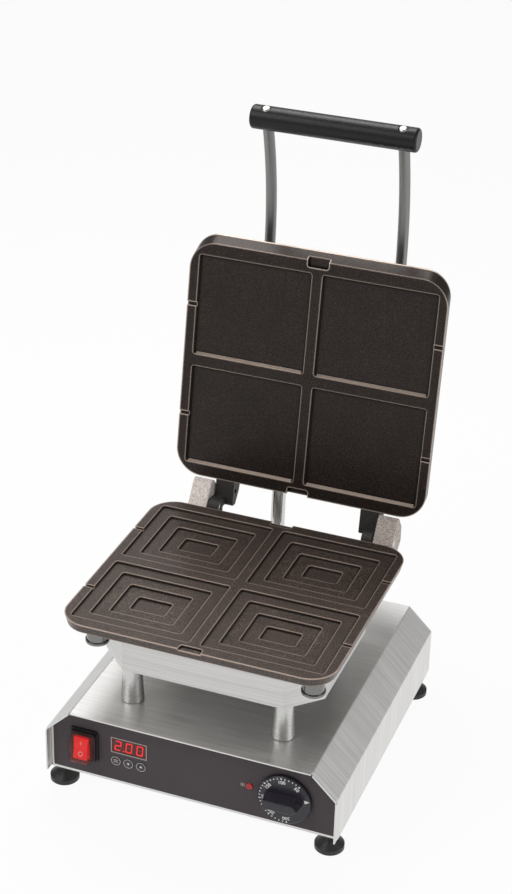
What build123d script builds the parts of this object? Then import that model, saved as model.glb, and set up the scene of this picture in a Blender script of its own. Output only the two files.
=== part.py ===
from build123d import *
import os
from math import atan2, cos, pi, radians, sin, tan

os.makedirs("parts", exist_ok=True)

# Jaffle iron with two heated plates, shown open. Millimetres, +Z up.
# x = 0 is the middle of the machine, z = 0 is the surface it stands on.
# "depth" is a distance behind the front edge of the base.

# Base box, folded from stainless sheet
base_width = 320.0
base_depth = 332.0
base_wall_height = 52.0
base_shoulder_rise = 27.0
base_shoulder_inset = 27.5
base_sheet = 1.5
base_bend_radius = 3.0
floor_clearance_height = 20.0
floor_sheet = 1.5
relief_width = 1.6
relief_length = 3.0
floor_slot_pitch = 32.0
floor_slot_rows_apart = 83.0
floor_slot_length = 55.0
air_slot_width = 5.0

# Front and rear panels, set back between the walls
panel_recess = 10.0
panel_sheet = 2.0
panel_gap = 0.3
panel_flange = 16.0
panel_flange_side_inset = 31.0
flange_screw_inset = 53.0
rear_slots_x = -40.0
rear_slot_pitch = 12.0
rear_slot_length = 26.0

# Rubber feet
foot_radius = 15.5
foot_stem_radius = 6.0
foot_disc_height = 6.0
foot_cone_height = 7.0
foot_side_inset = 11.5
foot_end_inset = 20.0
foot_bolt_radius = 2.5
foot_counterbore_depth = 6.0
foot_bolt_head_radius = 4.5
foot_bolt_head = 3.0
foot_nut_flats = 8.0
foot_nut_height = 4.0

# Turned legs that carry the lower heater
leg_height = 43.5
leg_bottom_radius = 12.25
leg_top_radius = 9.75
leg_shadow_ring = 1.2
leg_side_inset = 37.5
leg_end_inset = 15.8

# Baking plates, seen from their baking side
plate_side_inset = 14.0
plate_rear_inset = 64.0
plate_corner = 30.0
plate_body_depth = 17.0
lower_rim = 10.0
upper_rim = 13.0
rim_draft = 2.5
upper_rim_draft = 1.5
upper_rim_flare = 8.5
cell_side_rim = 10.6
cell_end_rim = 14.1
cell_rib_x = 11.8
cell_rib_y = 13.4
cell_corner = 3.0
lower_step_depth = 2.5
lower_step_draft = 12.0
lower_steps_x = (0.0, 14.5, 29.9, 45.6)
lower_steps_y = (0.0, 14.4, 29.0, 44.1)
upper_recess_depth = 4.2
upper_recess_draft = 25.0
vent_width = 4.0
vent_depth = 1.8
notch_width = 24.0
notch_length = 8.0
lower_notch_depth = 2.0
upper_notch_depth = 4.5
notch_corner = 3.0
plate_gap = 0.4

# Eight-sided heater housings behind the plates
housing_side_inset = 25.0
housing_end_inset = 35.5
housing_corner_cut = 33.0
housing_sheet = 1.5
lower_housing_depth = 58.5
upper_housing_depth = 55.5
housing_flange = 6.0
housing_flange_sheet = 2.0
body_gap = 0.6
ear_radius = 12.0
insulation_thickness = 20.0
element_radius = 4.0
element_side_inset = 41.0
element_end_inset = 36.5
element_bend_radius = 18.0
element_lead_gap = 24.0
element_lead_length = 24.0
probe_radius = 3.0
probe_length = 70.0
seat_gap = 0.2

# Studs and nuts that hold each plate on its housing
stud_side_inset = 28.5
stud_end_inset = 40.0
stud_radius = 4.0
stud_seat_depth = 3.0
stud_length = 30.0
rear_stud_length = 16.0
thumb_nut_radius = 11.2
thumb_nut_length = 29.6
thumb_nut_flange_radius = 12.5
thumb_nut_flange_height = 2.6
thumb_nut_bore_depth = 26.0
running_gap = 0.06
fixed_gap = 0.03
moving_gap = 0.3
hex_flats = 13.0
hex_height = 6.5

# Hinge
open_angle = 99.0
hinge_drop = 12.4
hinge_behind_plate = 26.9
pin_radius = 4.0
pin_recess = 1.0
post_side_inset = 26.5
post_width = 22.0
post_edge = 1.5
post_foot_overlap = 27.0
post_foot_height = 8.0
post_foot_heel = 6.0
post_step_behind_plate = 3.0
post_bolt_radius = 2.5
post_bolt_flats = 8.0
post_bolt_head = 3.5
post_bolt_half_pitch = 6.0
post_bolt_in_foot = 12.0
post_bolt_in_plate = 5.0
arm_post_gap = 1.5
arm_width = 21.5
arm_knuckle_width = 12.0
arm_knuckle_radius = 8.5
arm_thickness = 22.0
arm_heel = 22.0
arm_heel_half = 8.0
arm_foot_height = 62.0
arm_foot_thickness = 8.0
arm_bolt_from_cut = 8.0
arm_bolt_height = 48.0
arm_bolt_pitch = 12.0
arm_side_gap = 0.6
arm_lip = 2.0
arm_end_thickness = 9.0
arm_round_length = 14.0
arm_round_rise = 4.0
arm_blind_hole_radius = 2.8
arm_blind_hole_depth = 6.0
arm_blind_hole = (-14.5, 19.5)
stop_below_axis = 21.1
stop_rise = 11.0
stop_thickness = 9.0
bolt_radius = 3.0
bolt_flats = 10.0
bolt_head = 4.0
clearance = 0.2

# Outline of a hinge post's head, as distances behind and above the hinge axis
post_head = (
    (-12.0, -2.0),
    (6.1, 23.9),
    (11.1, 25.9),
    (17.1, 22.4),
    (26.1, 9.9),
    (26.1, -10.1),
    (11.1, -21.1),
)

# Handle
rod_radius = 6.0
rod_from_cut = 12.7
rod_foot_straight = 2.66
rod_bend_angle = 28.1
rod_bend_radius = 365.0
rod_tail_inside = 18.0
rod_end_straight = 2.16
grip_radius = 13.0
grip_end_past_rod = 16.7
grip_edge = 3.0
grip_pocket_past_centre = 2.0
handle_screw_radius = 2.5
handle_screw_head_radius = 5.0
handle_screw_head = 3.2
cross_slot = 1.2
handle_screw_seat = 10.5
handle_screw_length = 20.0
rod_nut_flats = 19.0
rod_nut_height = 7.0
rod_nut_wall_gap = 0.3

# Controls on the front panel
knob_side_inset = 57.1
knob_z = 56.1
knob_radius = 28.5
knob_skirt = 5.0
knob_bar_width = 13.0
knob_bar_end = 20.0
knob_bar_shoulder = 14.0
knob_bar_draft = 6.0
knob_bar_height = 14.0
knob_bevel = 1.2
spindle_radius = 3.0
spindle_length = 26.0
thermostat_width = 44.0
thermostat_height = 34.0
thermostat_length = 24.0
bush_radius = 5.0
switch_side_inset = 40.3
switch_z = 59.0
switch_bezel_width = 32.0
switch_bezel_height = 39.0
switch_bezel_thickness = 2.5
switch_collar_width = 29.0
switch_collar_height = 36.0
switch_collar_rise = 4.0
switch_body_width = 26.0
switch_body_height = 31.0
switch_body_length = 24.0
switch_cavity = 16.0
rocker_width = 16.0
rocker_height = 25.0
rocker_front = 7.5
rocker_dish = 1.5
rocker_side_length = 5.0
rocker_back = 5.0
rocker_room = 1.3
rocker_axle = 1.5
rocker_axle_radius = 1.5
rocker_tilt = 16.0
rocker_pivot_behind = 3.0
cover_width = 26.0
cover_height = 33.0
cover_projection = 10.5
cover_wall = 1.0
cover_corner = 4.0
cover_taper = 4.0
display_from_switch = 50.1
display_z = 67.2
display_width = 40.3
display_height = 19.1
display_frame = 0.9
display_frame_proud = 0.6
keys_from_display = (-14.8, -0.7, 13.5)
key_z = 47.5
key_radius = 5.5
key_length = 4.0
key_proud = 0.6
key_collar = 1.0
key_collar_gap = 0.1
key_stem_radius = 2.0
key_travel = 0.8
controller_width = 62.0
controller_height = 44.0
controller_length = 18.0
controller_behind = 8.5
spacer_radius = 2.5
lamp_from_knob = 39.0
lamp_z = 58.8
lamp_radius = 4.0
lamp_length = 22.0
lamp_proud = 1.2
lamp_nut = 4.0

# Wiring conduit, its glands, and the inlet at the rear
conduit_radius = 8.0
conduit_x = -24.0
conduit_rear_inset = 14.0
conduit_top_x = -31.0
conduit_top_height = 43.0
conduit_rise = 40.0
conduit_entry = 30.0
gland_flats = 24.0
gland_height = 14.0
gland_bore = 6.0
cord_gland_side_inset = 60.0
cord_gland_z = 55.0
cord_gland_length = 22.0
cord_gland_cap = 10.0
gland_nut = 5.0
cord_gland_thread = 8.0
cord_radius = 4.5
terminal_size = (60.0, 30.0, 18.0)
terminal_screw_radius = 2.0

# Sheet screws
screw_radius = 2.0
screw_head_radius = 4.0
screw_head = 2.4
screw_length = 8.0

# Sizes and places that follow the base's width and depth
base_top_width = base_width - 2 * base_shoulder_inset
plate_width = base_width - 2 * plate_side_inset
plate_depth = base_depth - plate_rear_inset
plate_mid_depth = plate_depth / 2
cell_width = (plate_width - cell_rib_x) / 2 - cell_side_rim
cell_length = (plate_depth - cell_rib_y) / 2 - cell_end_rim
housing_half_x = plate_width / 2 - housing_side_inset
housing_half_y = plate_depth / 2 - housing_end_inset
element_half_x = housing_half_x - element_side_inset
element_half_y = housing_half_y - element_end_inset
stud_x = plate_width / 2 - stud_side_inset
stud_y = plate_depth / 2 - stud_end_inset
leg_offset_x = housing_half_x - leg_side_inset
leg_offset_y = housing_half_y - leg_end_inset
post_inner_x = plate_width / 2 - post_side_inset - post_width
arm_inner_x = post_inner_x - arm_post_gap - arm_width
arm_bolt_x = housing_half_x - housing_corner_cut - arm_bolt_from_cut
rod_offset_x = housing_half_x - housing_corner_cut - rod_from_cut
grip_length = 2 * (rod_offset_x + grip_end_past_rod)
knob_x = base_width / 2 - knob_side_inset
lamp_x = knob_x - lamp_from_knob
switch_x = switch_side_inset - base_width / 2
display_x = switch_x + display_from_switch
key_x = [display_x + offset for offset in keys_from_display]
cord_gland_x = base_width / 2 - cord_gland_side_inset
conduit_depth = base_depth - conduit_rear_inset

# Levels and planes worked out from the values above
floor_top = floor_clearance_height + floor_sheet
shoulder_z = floor_top + base_wall_height
base_top = shoulder_z + base_shoulder_rise
pan_bottom = base_top + leg_height
parting_height = pan_bottom + lower_housing_depth + lower_rim
hinge_depth = plate_mid_depth + plate_depth / 2 + hinge_behind_plate
hinge_z = parting_height - hinge_drop
lean = radians(open_angle - 90)
upper_back = hinge_drop + plate_gap + upper_rim
handle_wall = plate_mid_depth - housing_half_y - hinge_depth
hinge_wall = plate_mid_depth + housing_half_y - hinge_depth
rod_height = upper_back + upper_housing_depth - housing_sheet - rod_nut_wall_gap - rod_nut_flats / 2
bend_tangent = rod_bend_radius * tan(radians(rod_bend_angle) / 2)
rod_vertex = handle_wall - rod_foot_straight - bend_tangent
rod_to_grip = bend_tangent + rod_end_straight

# The origin is under the middle of the open machine, front to back: from the knob's bar to
# whichever is further back, the rods' bends or the upper housing's corner at the handle end
knob_reach = moving_gap + knob_skirt + knob_bar_height - panel_recess
rod_reach = (
    hinge_depth
    - (rod_vertex + bend_tangent) * sin(lean)
    + rod_height * cos(lean)
    + rod_bend_radius * (1 - cos(lean))
    + rod_radius
)
corner_reach = hinge_depth - handle_wall * sin(lean) + (upper_back + upper_housing_depth) * cos(lean)
front_y = -(max(rod_reach, corner_reach) - knob_reach) / 2


def level(z, x=0.0, depth=plate_mid_depth):
    """Plane that faces up at height z."""
    return Plane(origin=(x, front_y + depth, z), x_dir=(1, 0, 0), z_dir=(0, 0, 1))


def facing_front(depth, x=0.0, z=0.0):
    """Plane that faces the user, its own y upwards."""
    return Plane(origin=(x, front_y + depth, z), x_dir=(1, 0, 0), z_dir=(0, -1, 0))


def side_plane(x):
    """Plane across the machine at x, its own x to the rear and y upwards."""
    return Plane(origin=(x, front_y, 0), x_dir=(0, 1, 0), z_dir=(1, 0, 0))


lid = Plane(
    origin=(0, front_y + hinge_depth, hinge_z),
    x_dir=(1, 0, 0),
    z_dir=(0, cos(lean), -sin(lean)),
)


def lid_side(x):
    """Plane across the lid at x: its own x runs in the lid from the handle to the hinge,
    its own y is the distance behind the hinge axis, square to the plate."""
    return Plane(origin=lid.from_local_coords((x, 0, 0)), x_dir=lid.y_dir, z_dir=lid.x_dir)


def lid_end(x, along, behind):
    """Plane in the lid that faces the handle end, at a place given in the lid's own axes."""
    return Plane(
        origin=lid.from_local_coords((x, along, behind)),
        x_dir=(1, 0, 0),
        z_dir=-lid.y_dir,
    )


lower_face = level(parting_height)
upper_face = Plane(
    origin=lid.from_local_coords((0, plate_mid_depth - hinge_depth, hinge_drop + plate_gap)),
    x_dir=(-1, 0, 0),
    z_dir=-lid.z_dir,
)
stud_corners = [(x, y) for x in (-stud_x, stud_x) for y in (-stud_y, stud_y)]
arm_bolts = [(0, -arm_bolt_pitch / 2), (0, arm_bolt_pitch / 2)]
foot_corners = [
    (sx * (base_width / 2 - foot_side_inset), depth)
    for depth in (foot_end_inset, base_depth - foot_end_inset)
    for sx in (-1, 1)
]
leg_corners = [(sx * leg_offset_x, sy * leg_offset_y) for sy in (-1, 1) for sx in (-1, 1)]
foot_names = ("front_left", "front_right", "rear_left", "rear_right")


def octagon(half_x, half_y, cut):
    """Rectangle with its four corners cut off at 45 degrees."""
    Polygon(
        (-half_x + cut, -half_y),
        (half_x - cut, -half_y),
        (half_x, -half_y + cut),
        (half_x, half_y - cut),
        (half_x - cut, half_y),
        (-half_x + cut, half_y),
        (-half_x, half_y - cut),
        (-half_x, -half_y + cut),
        align=None,
    )


def inset_octagon(inset):
    """The housing's outline, drawn in by an even distance."""
    octagon(
        housing_half_x - inset,
        housing_half_y - inset,
        housing_corner_cut - inset * (2 - 2**0.5),
    )


def drill(plane, points, radius, depth):
    """Round holes down from a plane."""
    with BuildSketch(plane) as holes:
        with Locations(*points):
            Circle(radius)
    extrude(holes.sketch, amount=-depth, mode=Mode.SUBTRACT)


def cylinder(plane, radius, height, points=((0, 0),)):
    """Round bars up from a plane."""
    with BuildSketch(plane) as bars:
        with Locations(*points):
            Circle(radius)
    extrude(bars.sketch, amount=height)


def hex_nut(plane, flats, height, bore, points=((0, 0),)):
    """Hexagons up from a plane, with a bore unless it is 0."""
    with BuildSketch(plane) as hexagons:
        with Locations(*points):
            RegularPolygon(flats / 2, 6, major_radius=False)
            if bore:
                Circle(bore, mode=Mode.SUBTRACT)
    extrude(hexagons.sketch, amount=height)


# Base housing: one folded sheet over the top and down both sides
with BuildPart() as base_housing:
    with BuildSketch(facing_front(0)):
        with BuildLine():
            FilletPolyline(
                (-base_width / 2, floor_top),
                (-base_width / 2, shoulder_z),
                (-base_top_width / 2, base_top),
                (base_top_width / 2, base_top),
                (base_width / 2, shoulder_z),
                (base_width / 2, floor_top),
                radius=base_bend_radius,
            )
            offset(amount=base_sheet, side=Side.RIGHT)
        make_face()
    extrude(amount=-base_depth)
    for side in (-1, 1):
        with BuildSketch(facing_front(0)):
            for x, z in ((base_top_width / 2, base_top), (base_width / 2, shoulder_z)):
                with Locations((side * x, z)):
                    Rectangle(relief_width, 3 * relief_width)
        extrude(amount=-relief_length, mode=Mode.SUBTRACT)
    drill(level(base_top), leg_corners, stud_radius + clearance, 2 * base_sheet)
    drill(level(base_top, depth=conduit_depth), [(conduit_x, 0)], gland_bore, 2 * base_sheet)
base_housing.part.label = "base_housing"
export_step(base_housing.part, "parts/base_housing.step")

# Base floor: flat sheet under the walls, as far as the panels, with air slots and screw holes
flange_screws = [
    (side * (base_width / 2 - flange_screw_inset), depth)
    for side in (-1, 1)
    for depth in (panel_recess + panel_flange / 2, base_depth - panel_recess - panel_flange / 2)
]
with BuildPart() as base_floor:
    with BuildSketch(level(floor_clearance_height, depth=base_depth / 2)):
        Rectangle(base_width, base_depth - 2 * panel_recess)
        with GridLocations(floor_slot_pitch, floor_slot_rows_apart, 6, 2):
            SlotOverall(floor_slot_length, air_slot_width, rotation=90, mode=Mode.SUBTRACT)
    extrude(amount=floor_sheet)
    drill(level(floor_top, depth=0), foot_corners, foot_bolt_radius + clearance, 2 * floor_sheet)
    drill(level(floor_top, depth=0), flange_screws, screw_radius + clearance, 2 * floor_sheet)
base_floor.part.label = "base_floor"
export_step(base_floor.part, "parts/base_floor.step")


def panel_blank(face_depth, inward):
    """Panel that fills one end of the base, with a flange that lies on the floor."""
    inner = base_sheet + panel_gap
    slope = atan2(base_width / 2 - base_top_width / 2, base_shoulder_rise)
    shoulder_in = inner * tan(slope / 2)
    top_in = inner * tan((pi / 2 - slope) / 2)
    with BuildSketch(facing_front(face_depth)) as blank:
        with BuildLine():
            FilletPolyline(
                (-base_width / 2 + inner, floor_top),
                (-base_width / 2 + inner, shoulder_z - shoulder_in),
                (-base_top_width / 2 + top_in, base_top - inner),
                (base_top_width / 2 - top_in, base_top - inner),
                (base_width / 2 - inner, shoulder_z - shoulder_in),
                (base_width / 2 - inner, floor_top),
                radius=base_bend_radius,
                close=True,
            )
        make_face()
    extrude(blank.sketch, amount=-inward * panel_sheet)
    with BuildSketch(level(floor_top, depth=face_depth + inward * panel_flange / 2)) as flange:
        Rectangle(base_width - 2 * panel_flange_side_inset, panel_flange)
    extrude(flange.sketch, amount=panel_sheet)


# Front panel: set back, with openings for the controls
display_opening = (display_width - 2 * display_frame, display_height - 2 * display_frame)
with BuildPart() as front_panel:
    panel_blank(panel_recess, 1)
    flange_top = level(floor_top + panel_sheet, depth=0)
    drill(flange_top, flange_screws, screw_radius + clearance, 2 * panel_sheet)
    with BuildSketch(facing_front(panel_recess)) as openings:
        with Locations((knob_x, knob_z)):
            Circle(bush_radius + clearance)
        with Locations((lamp_x, lamp_z)):
            Circle(lamp_radius + clearance)
        with Locations(*[(x, key_z) for x in key_x]):
            Circle(key_radius + moving_gap)
        with Locations((display_x, display_z)):
            Rectangle(*display_opening)
        with Locations((switch_x, switch_z)):
            Rectangle(switch_body_width + 2 * clearance, switch_body_height + 2 * clearance)
    extrude(amount=-2 * panel_sheet, mode=Mode.SUBTRACT)
front_panel.part.label = "front_panel"
export_step(front_panel.part, "parts/front_panel.step")

# Rear panel: the same blank turned round, with the cord's opening and air slots
with BuildPart() as rear_panel:
    panel_blank(base_depth - panel_recess, -1)
    flange_top = level(floor_top + panel_sheet, depth=0)
    drill(flange_top, flange_screws, screw_radius + clearance, 2 * panel_sheet)
    with BuildSketch(facing_front(base_depth - panel_recess - 2 * panel_sheet)):
        with Locations((cord_gland_x, cord_gland_z)):
            Circle(cord_gland_thread + clearance)
        with Locations((rear_slots_x, shoulder_z - base_shoulder_rise / 2)):
            with GridLocations(rear_slot_pitch, 0, 9, 1):
                SlotOverall(rear_slot_length, air_slot_width, rotation=90)
    extrude(amount=-3 * panel_sheet, mode=Mode.SUBTRACT)
rear_panel.part.label = "rear_panel"
export_step(rear_panel.part, "parts/rear_panel.step")

# Sheet screws that hold both panels to the floor
with BuildPart() as case_screws:
    for x, depth in flange_screws:
        head = level(floor_clearance_height - screw_head, x=x, depth=depth)
        cylinder(head, screw_head_radius, screw_head)
        cylinder(level(floor_clearance_height, x=x, depth=depth), screw_radius, screw_length)
case_screws.part.label = "case_screws"
export_step(case_screws.part, "parts/case_screws.step")

# Rubber feet: a disc, a cone and a stem, with a deep seat for the bolt head
for name, (x, depth) in zip(foot_names, foot_corners):
    with BuildPart() as foot:
        with BuildSketch(side_plane(x)):
            with BuildLine():
                Polyline(
                    (depth, 0),
                    (depth + foot_radius - 1, 0),
                    (depth + foot_radius, 1),
                    (depth + foot_radius, foot_disc_height),
                    (depth + foot_stem_radius, foot_disc_height + foot_cone_height),
                    (depth + foot_stem_radius, floor_clearance_height),
                    (depth, floor_clearance_height),
                    close=True,
                )
            make_face()
        revolve(axis=Axis((x, front_y + depth, 0), (0, 0, 1)))
        with Locations(level(0, x=x, depth=depth).rotated((180, 0, 0))):
            CounterBoreHole(
                foot_bolt_radius + clearance, foot_bolt_head_radius + clearance, foot_counterbore_depth
            )
    foot.part.label = f"foot_{name}"
    export_step(foot.part, f"parts/foot_{name}.step")

# Bolts up through the feet, each with a nut on the floor sheet
with BuildPart() as foot_bolts:
    for x, depth in foot_corners:
        seat = foot_counterbore_depth
        head = level(seat - foot_bolt_head, x=x, depth=depth)
        cylinder(head, foot_bolt_head_radius, foot_bolt_head)
        shank = floor_top + foot_nut_height + 1 - seat
        cylinder(level(seat, x=x, depth=depth), foot_bolt_radius, shank)
        hex_nut(level(floor_top, x=x, depth=depth), foot_nut_flats, foot_nut_height, 0)
foot_bolts.part.label = "foot_bolts"
export_step(foot_bolts.part, "parts/foot_bolts.step")

# Legs: turned and polished, on a narrower ring at the foot
for name, (x, y) in zip(foot_names, leg_corners):
    with BuildPart() as leg:
        depth = plate_mid_depth + y
        with BuildSketch(side_plane(x)):
            with BuildLine():
                Polyline(
                    (depth + stud_radius + clearance, base_top),
                    (depth + leg_bottom_radius - leg_shadow_ring, base_top),
                    (depth + leg_bottom_radius - leg_shadow_ring, base_top + leg_shadow_ring),
                    (depth + leg_bottom_radius, base_top + leg_shadow_ring),
                    (depth + leg_top_radius, pan_bottom),
                    (depth + stud_radius + clearance, pan_bottom),
                    close=True,
                )
            make_face()
        revolve(axis=Axis((x, front_y + depth, 0), (0, 0, 1)))
    leg.part.label = f"leg_{name}"
    export_step(leg.part, f"parts/leg_{name}.step")

# Long bolts from under the base top, through the legs, with nuts in the lower housing
with BuildPart() as leg_bolts:
    head_plane = level(base_top - base_sheet - hex_height)
    hex_nut(head_plane, hex_flats, hex_height, 0, leg_corners)
    bolt_top = pan_bottom + housing_sheet + hex_height + 2
    cylinder(level(base_top - base_sheet), stud_radius, bolt_top - base_top + base_sheet, leg_corners)
    hex_nut(level(pan_bottom + housing_sheet), hex_flats, hex_height, 0, leg_corners)
leg_bolts.part.label = "leg_bolts"
export_step(leg_bolts.part, "parts/leg_bolts.step")


def heater_shell(face, rim, depth):
    """Open eight-sided box behind a plate, with a flange and four ears for the plate's studs."""
    with BuildSketch(face.offset(-rim - depth)) as outer:
        inset_octagon(0)
    extrude(outer.sketch, amount=depth)
    with BuildSketch(face.offset(-rim - housing_flange_sheet)) as flange:
        inset_octagon(-housing_flange)
        for x, y in stud_corners:
            reach = Vector(x, y).normalized() * 2 * ear_radius
            with BuildLine():
                Line((x, y), (x - reach.X, y - reach.Y))
                offset(amount=ear_radius)
            make_face()
    extrude(flange.sketch, amount=housing_flange_sheet)
    with BuildSketch(face.offset(-rim - depth + housing_sheet)) as inner:
        inset_octagon(housing_sheet)
    extrude(inner.sketch, amount=depth, mode=Mode.SUBTRACT)
    drill(face.offset(-rim), stud_corners, stud_radius + clearance, 2 * housing_flange_sheet)


def plate_casting(face, rim, draft, flare, steps, step_depth, step_draft, notch_depth):
    """Cast plate: a drafted rim, a block that fits the housing, and four cells with drafted
    steps. Each step is a pair of insets, in x and y, from the cell's outline."""
    with BuildSketch(face) as top:
        RectangleRounded(plate_width, plate_depth, plate_corner)
    with BuildSketch(face.offset(-rim)) as bottom:
        with Locations((0, (-draft - flare) / 2)):
            RectangleRounded(plate_width - 2 * draft, plate_depth - draft + flare, plate_corner - draft)
    loft([top.sketch, bottom.sketch])
    with BuildSketch(face.offset(-rim)) as block:
        inset_octagon(housing_sheet + body_gap)
    extrude(block.sketch, amount=rim - plate_body_depth)
    for number, (inset_x, inset_y) in enumerate(steps):
        with BuildSketch(face.offset(-number * step_depth)) as pockets:
            with GridLocations(cell_width + cell_rib_x, cell_length + cell_rib_y, 2, 2):
                RectangleRounded(cell_width - 2 * inset_x, cell_length - 2 * inset_y, cell_corner)
        extrude(pockets.sketch, amount=-step_depth, taper=step_draft, mode=Mode.SUBTRACT)
    vent_x = (plate_width / 2 + cell_width + cell_rib_x / 2) / 2
    vent_length = plate_width / 2 - cell_width - cell_rib_x / 2 + 4
    with BuildSketch(face) as vents:
        for side in (-1, 1):
            with Locations((side * vent_x, 0)):
                with GridLocations(0, cell_length + cell_rib_y, 1, 2):
                    Rectangle(vent_length, vent_width)
    extrude(vents.sketch, amount=-vent_depth, mode=Mode.SUBTRACT)
    with BuildSketch(face) as notches:
        for end in (-1, 1):
            with Locations((0, end * plate_depth / 2)):
                RectangleRounded(notch_width, 2 * notch_length, notch_corner)
    extrude(notches.sketch, amount=-notch_depth, mode=Mode.SUBTRACT)
    with BuildSketch(face.offset(-rim)) as seats:
        with Locations(*stud_corners):
            Circle(stud_radius + fixed_gap)
    extrude(seats.sketch, amount=stud_seat_depth, mode=Mode.SUBTRACT)


def element_tube(face):
    """Bent tubular heater that lies under the plate, its two leads pointing away from it."""
    plane = face.offset(-plate_body_depth - seat_gap - element_radius)
    lead_x = element_lead_gap / 2
    with BuildLine(plane) as route:
        FilletPolyline(
            (-lead_x, -element_half_y, -element_lead_length),
            (-lead_x, -element_half_y, 0),
            (-element_half_x, -element_half_y, 0),
            (-element_half_x, element_half_y, 0),
            (element_half_x, element_half_y, 0),
            (element_half_x, -element_half_y, 0),
            (lead_x, -element_half_y, 0),
            (lead_x, -element_half_y, -element_lead_length),
            radius=element_bend_radius,
        )
    with BuildSketch(Plane(origin=route.line @ 0, z_dir=route.line % 0)) as section:
        Circle(element_radius)
    sweep(section.sketch, path=route.line)


def insulation_board(face, rim, depth, places, cut_size):
    """Mineral board on the housing's floor, cut away round the nuts and the element's leads."""
    with BuildSketch(face.offset(-rim - depth + housing_sheet)) as board:
        inset_octagon(housing_sheet + body_gap)
        with Locations((0, -element_half_y)):
            SlotCenterToCenter(element_lead_gap, 4 * element_radius, mode=Mode.SUBTRACT)
        with Locations(*places):
            Rectangle(*cut_size, mode=Mode.SUBTRACT)
    extrude(board.sketch, amount=insulation_thickness)


def plate_studs(face, rim):
    """Four studs set into the plate; the rear two carry plain nuts under the ears."""
    rear = [(x, y) for x, y in stud_corners if y > 0]
    front = [(x, y) for x, y in stud_corners if y < 0]
    seat = face.offset(-rim + stud_seat_depth)
    cylinder(seat, stud_radius, -stud_length, front)
    cylinder(seat, stud_radius, -rear_stud_length, rear)
    hex_nut(face.offset(-rim - housing_flange_sheet - hex_height), hex_flats, hex_height, 0, rear)


def thumb_nut(face, rim, side):
    """Round nut with a flange at its outer end, run up a front stud to the ear."""
    top = face.offset(-rim - housing_flange_sheet - moving_gap)
    place = [(side * stud_x, -stud_y)]
    cylinder(top, thumb_nut_radius, -thumb_nut_length, place)
    flange = top.offset(thumb_nut_flange_height - thumb_nut_length)
    cylinder(flange, thumb_nut_flange_radius, -thumb_nut_flange_height, place)
    drill(top, place, stud_radius + running_gap, thumb_nut_bore_depth)


# Lower heater housing, on the legs
with BuildPart() as lower_heater_housing:
    heater_shell(lower_face, lower_rim, lower_housing_depth)
    drill(level(pan_bottom + housing_sheet), leg_corners, stud_radius + clearance, 2 * housing_sheet)
lower_heater_housing.part.label = "lower_heater_housing"
export_step(lower_heater_housing.part, "parts/lower_heater_housing.step")

with BuildPart() as lower_insulation:
    nut_room = 2 * hex_flats
    insulation_board(lower_face, lower_rim, lower_housing_depth, leg_corners, (nut_room, nut_room))
lower_insulation.part.label = "lower_insulation"
export_step(lower_insulation.part, "parts/lower_insulation.step")

with BuildPart() as lower_heating_element:
    element_tube(lower_face)
lower_heating_element.part.label = "lower_heating_element"
export_step(lower_heating_element.part, "parts/lower_heating_element.step")

# Temperature probe: a short rod that lies across the middle under the plate
with BuildPart() as lower_temperature_probe:
    probe_z = parting_height - plate_body_depth - seat_gap - probe_radius
    probe_end = (-probe_length / 2, front_y + plate_mid_depth, probe_z)
    with BuildSketch(Plane(origin=probe_end, z_dir=(1, 0, 0))):
        Circle(probe_radius)
    extrude(amount=probe_length)
lower_temperature_probe.part.label = "lower_temperature_probe"
export_step(lower_temperature_probe.part, "parts/lower_temperature_probe.step")

# Lower baking plate: four deep cells, each stepped down to a small floor, and four blind holes
# under its rear edge that hold the hinge posts' bolts
post_x = post_inner_x + post_width / 2
post_bolts = [
    (side * post_x + offset, plate_depth / 2 - post_foot_overlap + post_bolt_in_foot)
    for side in (-1, 1)
    for offset in (-post_bolt_half_pitch, post_bolt_half_pitch)
]
with BuildPart() as lower_baking_plate:
    plate_casting(
        lower_face,
        lower_rim,
        rim_draft,
        -rim_draft,
        list(zip(lower_steps_x, lower_steps_y)),
        lower_step_depth,
        lower_step_draft,
        lower_notch_depth,
    )
    with BuildSketch(lower_face.offset(-lower_rim)):
        with Locations(*post_bolts):
            Circle(post_bolt_radius + fixed_gap)
    extrude(amount=post_bolt_in_plate, mode=Mode.SUBTRACT)
lower_baking_plate.part.label = "lower_baking_plate"
export_step(lower_baking_plate.part, "parts/lower_baking_plate.step")

with BuildPart() as lower_plate_studs:
    plate_studs(lower_face, lower_rim)
lower_plate_studs.part.label = "lower_plate_studs"
export_step(lower_plate_studs.part, "parts/lower_plate_studs.step")

# Upper heater housing: the same box in the lid, with holes for the handle, hinge and wiring
with BuildPart() as upper_heater_housing:
    heater_shell(upper_face, upper_rim, upper_housing_depth)
    for side in (-1, 1):
        rod_hole = lid_end(side * rod_offset_x, handle_wall, rod_height)
        drill(rod_hole, [(0, 0)], rod_radius + clearance, 2 * housing_sheet)
        arm_hole = lid_end(side * arm_bolt_x, hinge_wall - 2 * housing_sheet, arm_bolt_height)
        drill(arm_hole, arm_bolts, bolt_radius + clearance, 4 * housing_sheet)
    wiring_hole = lid_end(conduit_top_x, hinge_wall - 2 * housing_sheet, conduit_top_height)
    drill(wiring_hole, [(0, 0)], gland_bore, 4 * housing_sheet)
upper_heater_housing.part.label = "upper_heater_housing"
export_step(upper_heater_housing.part, "parts/upper_heater_housing.step")

with BuildPart() as upper_insulation:
    rod_ends = [(-rod_offset_x, -housing_half_y), (rod_offset_x, -housing_half_y)]
    rod_room = (rod_nut_flats * 1.3, 2.4 * rod_tail_inside)
    insulation_board(upper_face, upper_rim, upper_housing_depth, rod_ends, rod_room)
upper_insulation.part.label = "upper_insulation"
export_step(upper_insulation.part, "parts/upper_insulation.step")

with BuildPart() as upper_heating_element:
    element_tube(upper_face)
upper_heating_element.part.label = "upper_heating_element"
export_step(upper_heating_element.part, "parts/upper_heating_element.step")

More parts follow.
